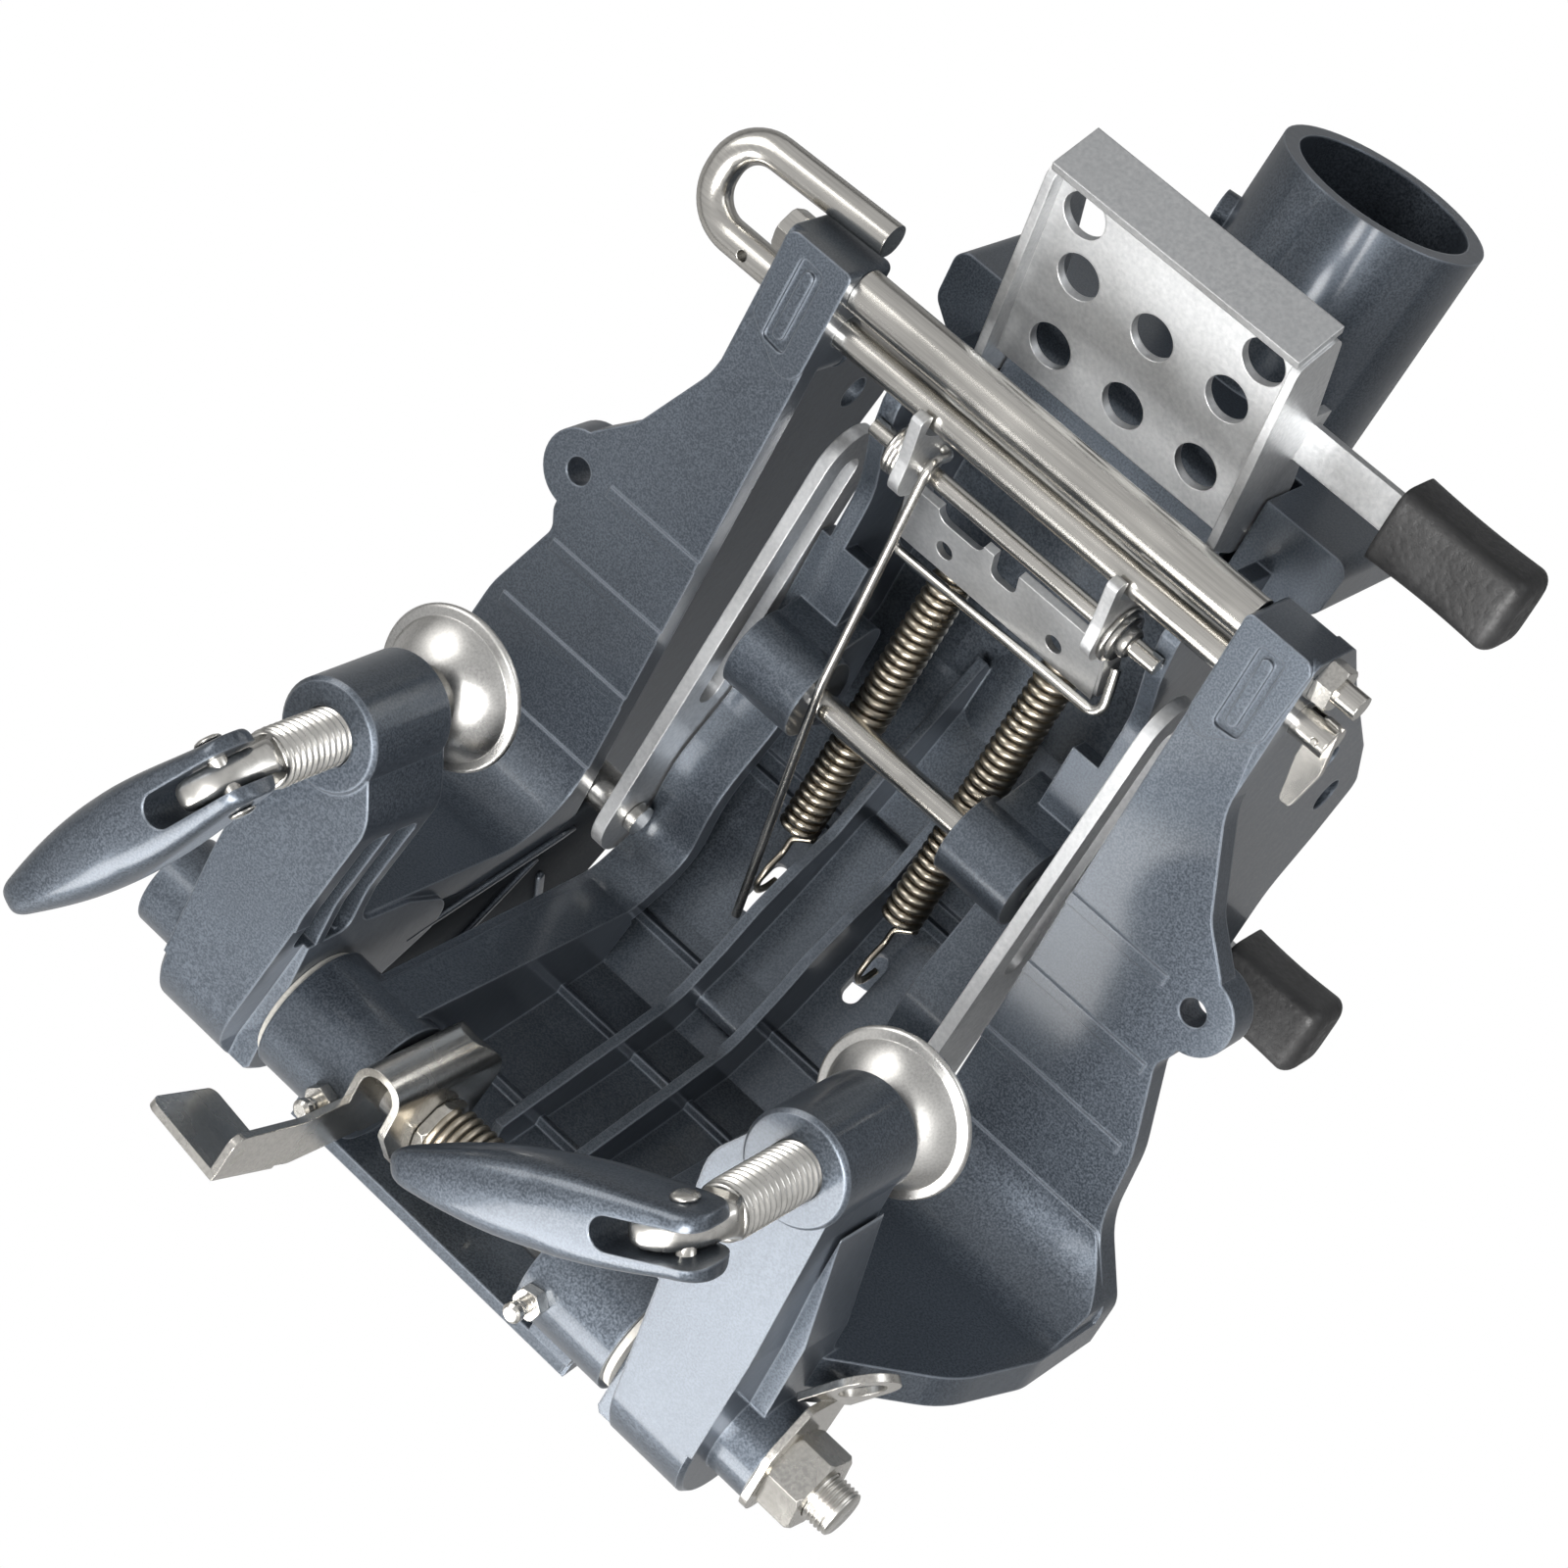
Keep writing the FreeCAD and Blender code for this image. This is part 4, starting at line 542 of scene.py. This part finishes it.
# Tilt bolt: one long stainless bar with a turned head sunk in the port barrel and a thread beyond the
# starboard nut. It is the axle of the whole swivel side and of the release lever.
bolt_pitch = 0.0015
bolt_middle = np.array([0.0, -0.104, 0.136])
thread_at = np.linspace(-0.1480, -0.1390, 61)
head_at = mm * np.array([-138.9, 121.4, 121.5, 126.6, 127.8, 128.7, 129.0, 129.0, 126.4])
head_r = mm * np.array([8.0, 8.0, 12.0, 12.0, 11.4, 9.8, 8.6, 5.2, 5.0])
bolt_at = np.concatenate([[-0.1485], thread_at, head_at])
bolt_r = np.concatenate([np.full((1, thread_sides), 0.0068),
                         thread_radius(thread_at, 0.0080, 0.0009, bolt_pitch),
                         np.repeat(head_r[:, None], thread_sides, 1)])
piece_from("tilt_axle_bolt", [
    turned_rings(bolt_middle, along_x, aft, upright, bolt_at, bolt_r),
], steel_cut, "mount", "stainless_steel", "tilt_bolt")


# Pressed sheet pieces: perforated tray, lock arm, slotted arms and the side lever.
# Mild steel, stamped and bent, with a dull silver zinc plating that shows a faint mottle.
def zinc_plate(name):
    """Dull silver plating: a fine mottle in colour and gloss, and corners a little brighter as a painted
    highlight.
    """
    finish, tree, skin, place = blank_finish(name)
    fine = grain(tree, place, 700.0, 4.0)
    cloud = grain(tree, place, 28.0, 4.0)
    colour = spread(tree, fine.outputs["Fac"], (0.50, 0.51, 0.52), (0.64, 0.645, 0.65), 0.3, 0.7)
    clouded = spread(tree, cloud.outputs["Fac"], 0.0, 0.4, 0.4, 0.7)
    colour = blended(tree, clouded.outputs[0], colour.outputs[0], (0.47, 0.48, 0.49))
    bevel = rounded_edges(tree, skin, 0.0006, fine.outputs["Fac"], 0.00005)
    # Painted highlight: the colour is lightened toward pale grey on the corners.
    painted_highlight_mask = edge_mask(tree, bevel, 0.82, 0.99)
    colour = blended(tree, painted_highlight_mask.outputs[0], colour, (0.78, 0.78, 0.78))
    tree.links.new(colour, skin.inputs["Base Color"])
    gloss = spread(tree, cloud.outputs["Fac"], 0.34, 0.50, 0.35, 0.7)
    tree.links.new(gloss.outputs[0], skin.inputs["Roughness"])
    skin.inputs["Metallic"].default_value = 0.9
    return finish


zinc_sheet = zinc_plate("zinc_plated_sheet")
dress(zinc_sheet, "tilt_support_tray", "lock_arm", "slotted_arm_port", "slotted_arm_starboard", "side_lever")


# Bushes in the swivel barrels and the thrust washers beside them.
# Sintered bronze, turned, and off-white moulded plastic.
def porous(name, fineness, detail, dark, light, edge, depth, metallic, rough):
    """A plain finish with fine pores, darker and sunk by the given depth, and corners rounded over the edge."""
    finish, tree, skin, place = blank_finish(name)
    pores = grain(tree, place, fineness, detail)
    colour = spread(tree, pores.outputs["Fac"], dark, light, 0.3, 0.7)
    tree.links.new(colour.outputs[0], skin.inputs["Base Color"])
    rounded_edges(tree, skin, edge, pores.outputs["Fac"], depth)
    skin.inputs["Metallic"].default_value = metallic
    skin.inputs["Roughness"].default_value = rough
    return finish


plastic_tint = (0.62, 0.60, 0.55)
plastic_dark = tuple(0.82 * t for t in plastic_tint)
bronze_tint = (0.55, 0.42, 0.25)
bronze_dark = (0.36, 0.26, 0.14)
bronze = porous("sintered_bronze", 1100.0, 4.0, bronze_dark, bronze_tint, 0.0004, 0.00004, 1.0, 0.42)
plastic = porous("thrust_washer_plastic", 900.0, 3.0, plastic_dark, plastic_tint, 0.0006, 0.00005, 0.0, 0.5)
dress(bronze, "tilt_bushes")
dress(plastic, "pivot_washers")


# Grips on the tray and on the side lever.
# Black rubber, moulded soft-cornered and pushed over the steel tab, so its open end shows a dark mouth.
def rubber(name):
    """Black rubber with a dusty, slightly cratered surface."""
    finish, tree, skin, place = blank_finish(name)
    fine = grain(tree, place, 420.0, 6.0)
    cloud = grain(tree, place, 60.0, 4.0)
    colour = spread(tree, cloud.outputs["Fac"], (0.018, 0.018, 0.0185), (0.040, 0.040, 0.041), 0.4, 0.75)
    tree.links.new(colour.outputs[0], skin.inputs["Base Color"])
    gloss = spread(tree, fine.outputs["Fac"], 0.38, 0.62, 0.35, 0.7)
    tree.links.new(gloss.outputs[0], skin.inputs["Roughness"])
    rounded_edges(tree, skin, 0.0015, fine.outputs["Fac"], 0.00025)
    return finish


grip_rubber = rubber("black_grip_rubber")
grip_half_y = 0.0105
grip_half_z = 0.0130
tip_round = 0.005
# label: the body, the middle of the mouth and the length
grips = {
    "tray": ("tray", (-0.0790, 0.0620, -0.1315), 0.0465),
    "side_lever": ("side_grip", (-0.0980, 0.1100, 0.0500), 0.038),
}
for label, (body, mouth, length) in grips.items():
    arc = np.linspace(0, math.pi / 2, 9)
    run = np.concatenate([[0.0065, 0.0062], 0.0012 * (1 - np.sin(arc[::-1])),
                          np.linspace(0.0025, length - 0.006, 12), length - tip_round + tip_round * np.sin(arc)])
    inset = np.concatenate([[0.0062, 0.0060, 0.0058], np.linspace(0.0045, 0, 8), np.zeros(12),
                            tip_round * (1 - np.cos(arc))])
    waist = 1 - 0.05 * np.sin(math.pi * np.clip(run / length, 0, 1))
    line = np.array(mouth) - run[:, None] * along_x
    half_across = (grip_half_z - inset) * waist
    half_above = (grip_half_y - inset) * waist
    rings = oval_rings(line, upright, aft, half_across, half_above, 5.5, 64)
    piece_from(label + "_rubber_grip", [rings], grip_rubber, body, "grip_rubber", label + "_grip")


# The two extension springs of the lock arm, side by side in the trough.
# Hard-drawn spring wire, coiled cold and left with its brownish drawn skin, with a hook bent at both ends.
def tube_along(path, radius, toward, sides=10):
    """Rings of points on a round tube: ring i is path[i] + radius·(cos v·n + sin v·b), where n is the part of
    toward square to the path and b is square to both."""
    tangent = np.gradient(path, axis=0)
    tangent /= np.linalg.norm(tangent, axis=1)[:, None]
    toward = np.broadcast_to(toward, path.shape)
    n = toward - (toward * tangent).sum(1)[:, None] * tangent
    n /= np.linalg.norm(n, axis=1)[:, None]
    b = np.cross(tangent, n)
    v = np.linspace(0, 2 * math.pi, sides, endpoint=False)
    ring = np.cos(v)[None, :, None] * n[:, None, :] + np.sin(v)[None, :, None] * b[:, None, :]
    return path[:, None, :] + radius * ring


def eased_line(points, count, rounds):
    """A smooth path close to the points: the runs between them are resampled evenly, and each inner point then
    moves halfway to its neighbours' middle, once a round."""
    points = np.array(points, float)
    length = np.concatenate([[0], np.cumsum(np.linalg.norm(np.diff(points, axis=0), axis=1))])
    at = np.linspace(0, length[-1], count)
    line = np.stack([np.interp(at, length, points[:, k]) for k in range(3)], axis=1)
    for _ in range(rounds):
        line[1:-1] = 0.25 * line[:-2] + 0.5 * line[1:-1] + 0.25 * line[2:]
    return line


def helix(start, end, radius, turns, steps=22):
    """Centre line of a coil, and its axis: start + (end - start)·t + radius·(cos w·n + sin w·b), where w is
    2π·turns·t, and n and b are square to the axis and to each other."""
    start = np.array(start, float)
    end = np.array(end, float)
    axis = (end - start) / np.linalg.norm(end - start)
    n = np.cross(axis, [0.3, 0.9, 0.1])
    n /= np.linalg.norm(n)
    b = np.cross(axis, n)
    t = np.linspace(0, 1, int(turns * steps) + 1)
    w = 2 * math.pi * turns * t
    return start + (end - start) * t[:, None] + radius * (np.cos(w)[:, None] * n + np.sin(w)[:, None] * b), axis


coil_wire_r = 0.0013
fine_wire_r = 0.0011
spring_wire = bright_steel("spring_wire", (0.50, 0.45, 0.37), 0.30, (1, 1, 1), 500.0)
for label, side in (("port", 1), ("starboard", -1)):
    x = side * 0.022
    coil_line, coil_axis = helix((x, 0.050, -0.031), (x, 0.042, 0.074), 0.0056, 32)
    top_hook = eased_line([coil_line[-1], (x, 0.0415, 0.077), (x, 0.0410, 0.083), (x, 0.036, 0.088),
                           (x, 0.0345, 0.094), (x, 0.038, 0.0985), (x, 0.043, 0.099),
                           (x, 0.0475, 0.0975)], 60, 5)
    low_hook = eased_line([coil_line[0], (x, 0.050, -0.034), (x, 0.0495, -0.038), (x, 0.045, -0.0415),
                           (x, 0.036, -0.0455)], 50, 4)
    piece_from("lock_spring_wire_" + label, [
        tube_along(coil_line, coil_wire_r, coil_axis),
        tube_along(top_hook, fine_wire_r, along_x),
        tube_along(low_hook, fine_wire_r, along_x),
    ], spring_wire, "lock", "spring_steel", "lock_spring_" + label)


# Ends of the lock arm's shaft: three turns of wire at port, two washers and a headed end at starboard.
# All stainless steel; they keep the arm's lugs in place on the shaft and turn with them.
shaft_middle = np.array([0.0, 0.020, -0.068])
end_coil, end_axis = helix(shaft_middle + 0.0419 * along_x, shaft_middle + 0.0466 * along_x, 0.0072, 3, 30)
washer_at = -mm * np.array([40.25, 46.7, 46.6, 45.8, 43.6, 43.6, 43.4, 41.95, 41.9, 41.7, 40.25, 40.25])
washer_r = mm * np.array([3.1, 3.1, 4.2, 5.0, 5.0, 7.8, 8.1, 8.0, 9.2, 9.5, 9.2, 3.1])
piece_from("lock_shaft_ends", [
    tube_along(end_coil, 0.0014, end_axis, 12),
    turned_rings(shaft_middle, along_x, aft, upright, washer_at, washer_r, 48),
], steel_plain, "lock", "stainless_steel", "lock_washers")


# Torsion spring of the release lever, coiled round the tilt bolt, with one leg bent aft and ending free.
# The same hard-drawn wire as the extension springs.
lever_coil, lever_axis = helix((0.0147, -0.104, 0.136), (-0.0053, -0.104, 0.136), 0.0097, 7, 26)
lever_leg = eased_line([lever_coil[-2], lever_coil[-1], (-0.0056, -0.1005, 0.1480),
                        (-0.0052, -0.086, 0.147)], 30, 4)
piece_from("lever_spring_wire", [
    tube_along(lever_coil, fine_wire_r, lever_axis),
    tube_along(lever_leg, fine_wire_r, along_x),
], spring_wire, "swivel", "spring_steel", "lever_spring")
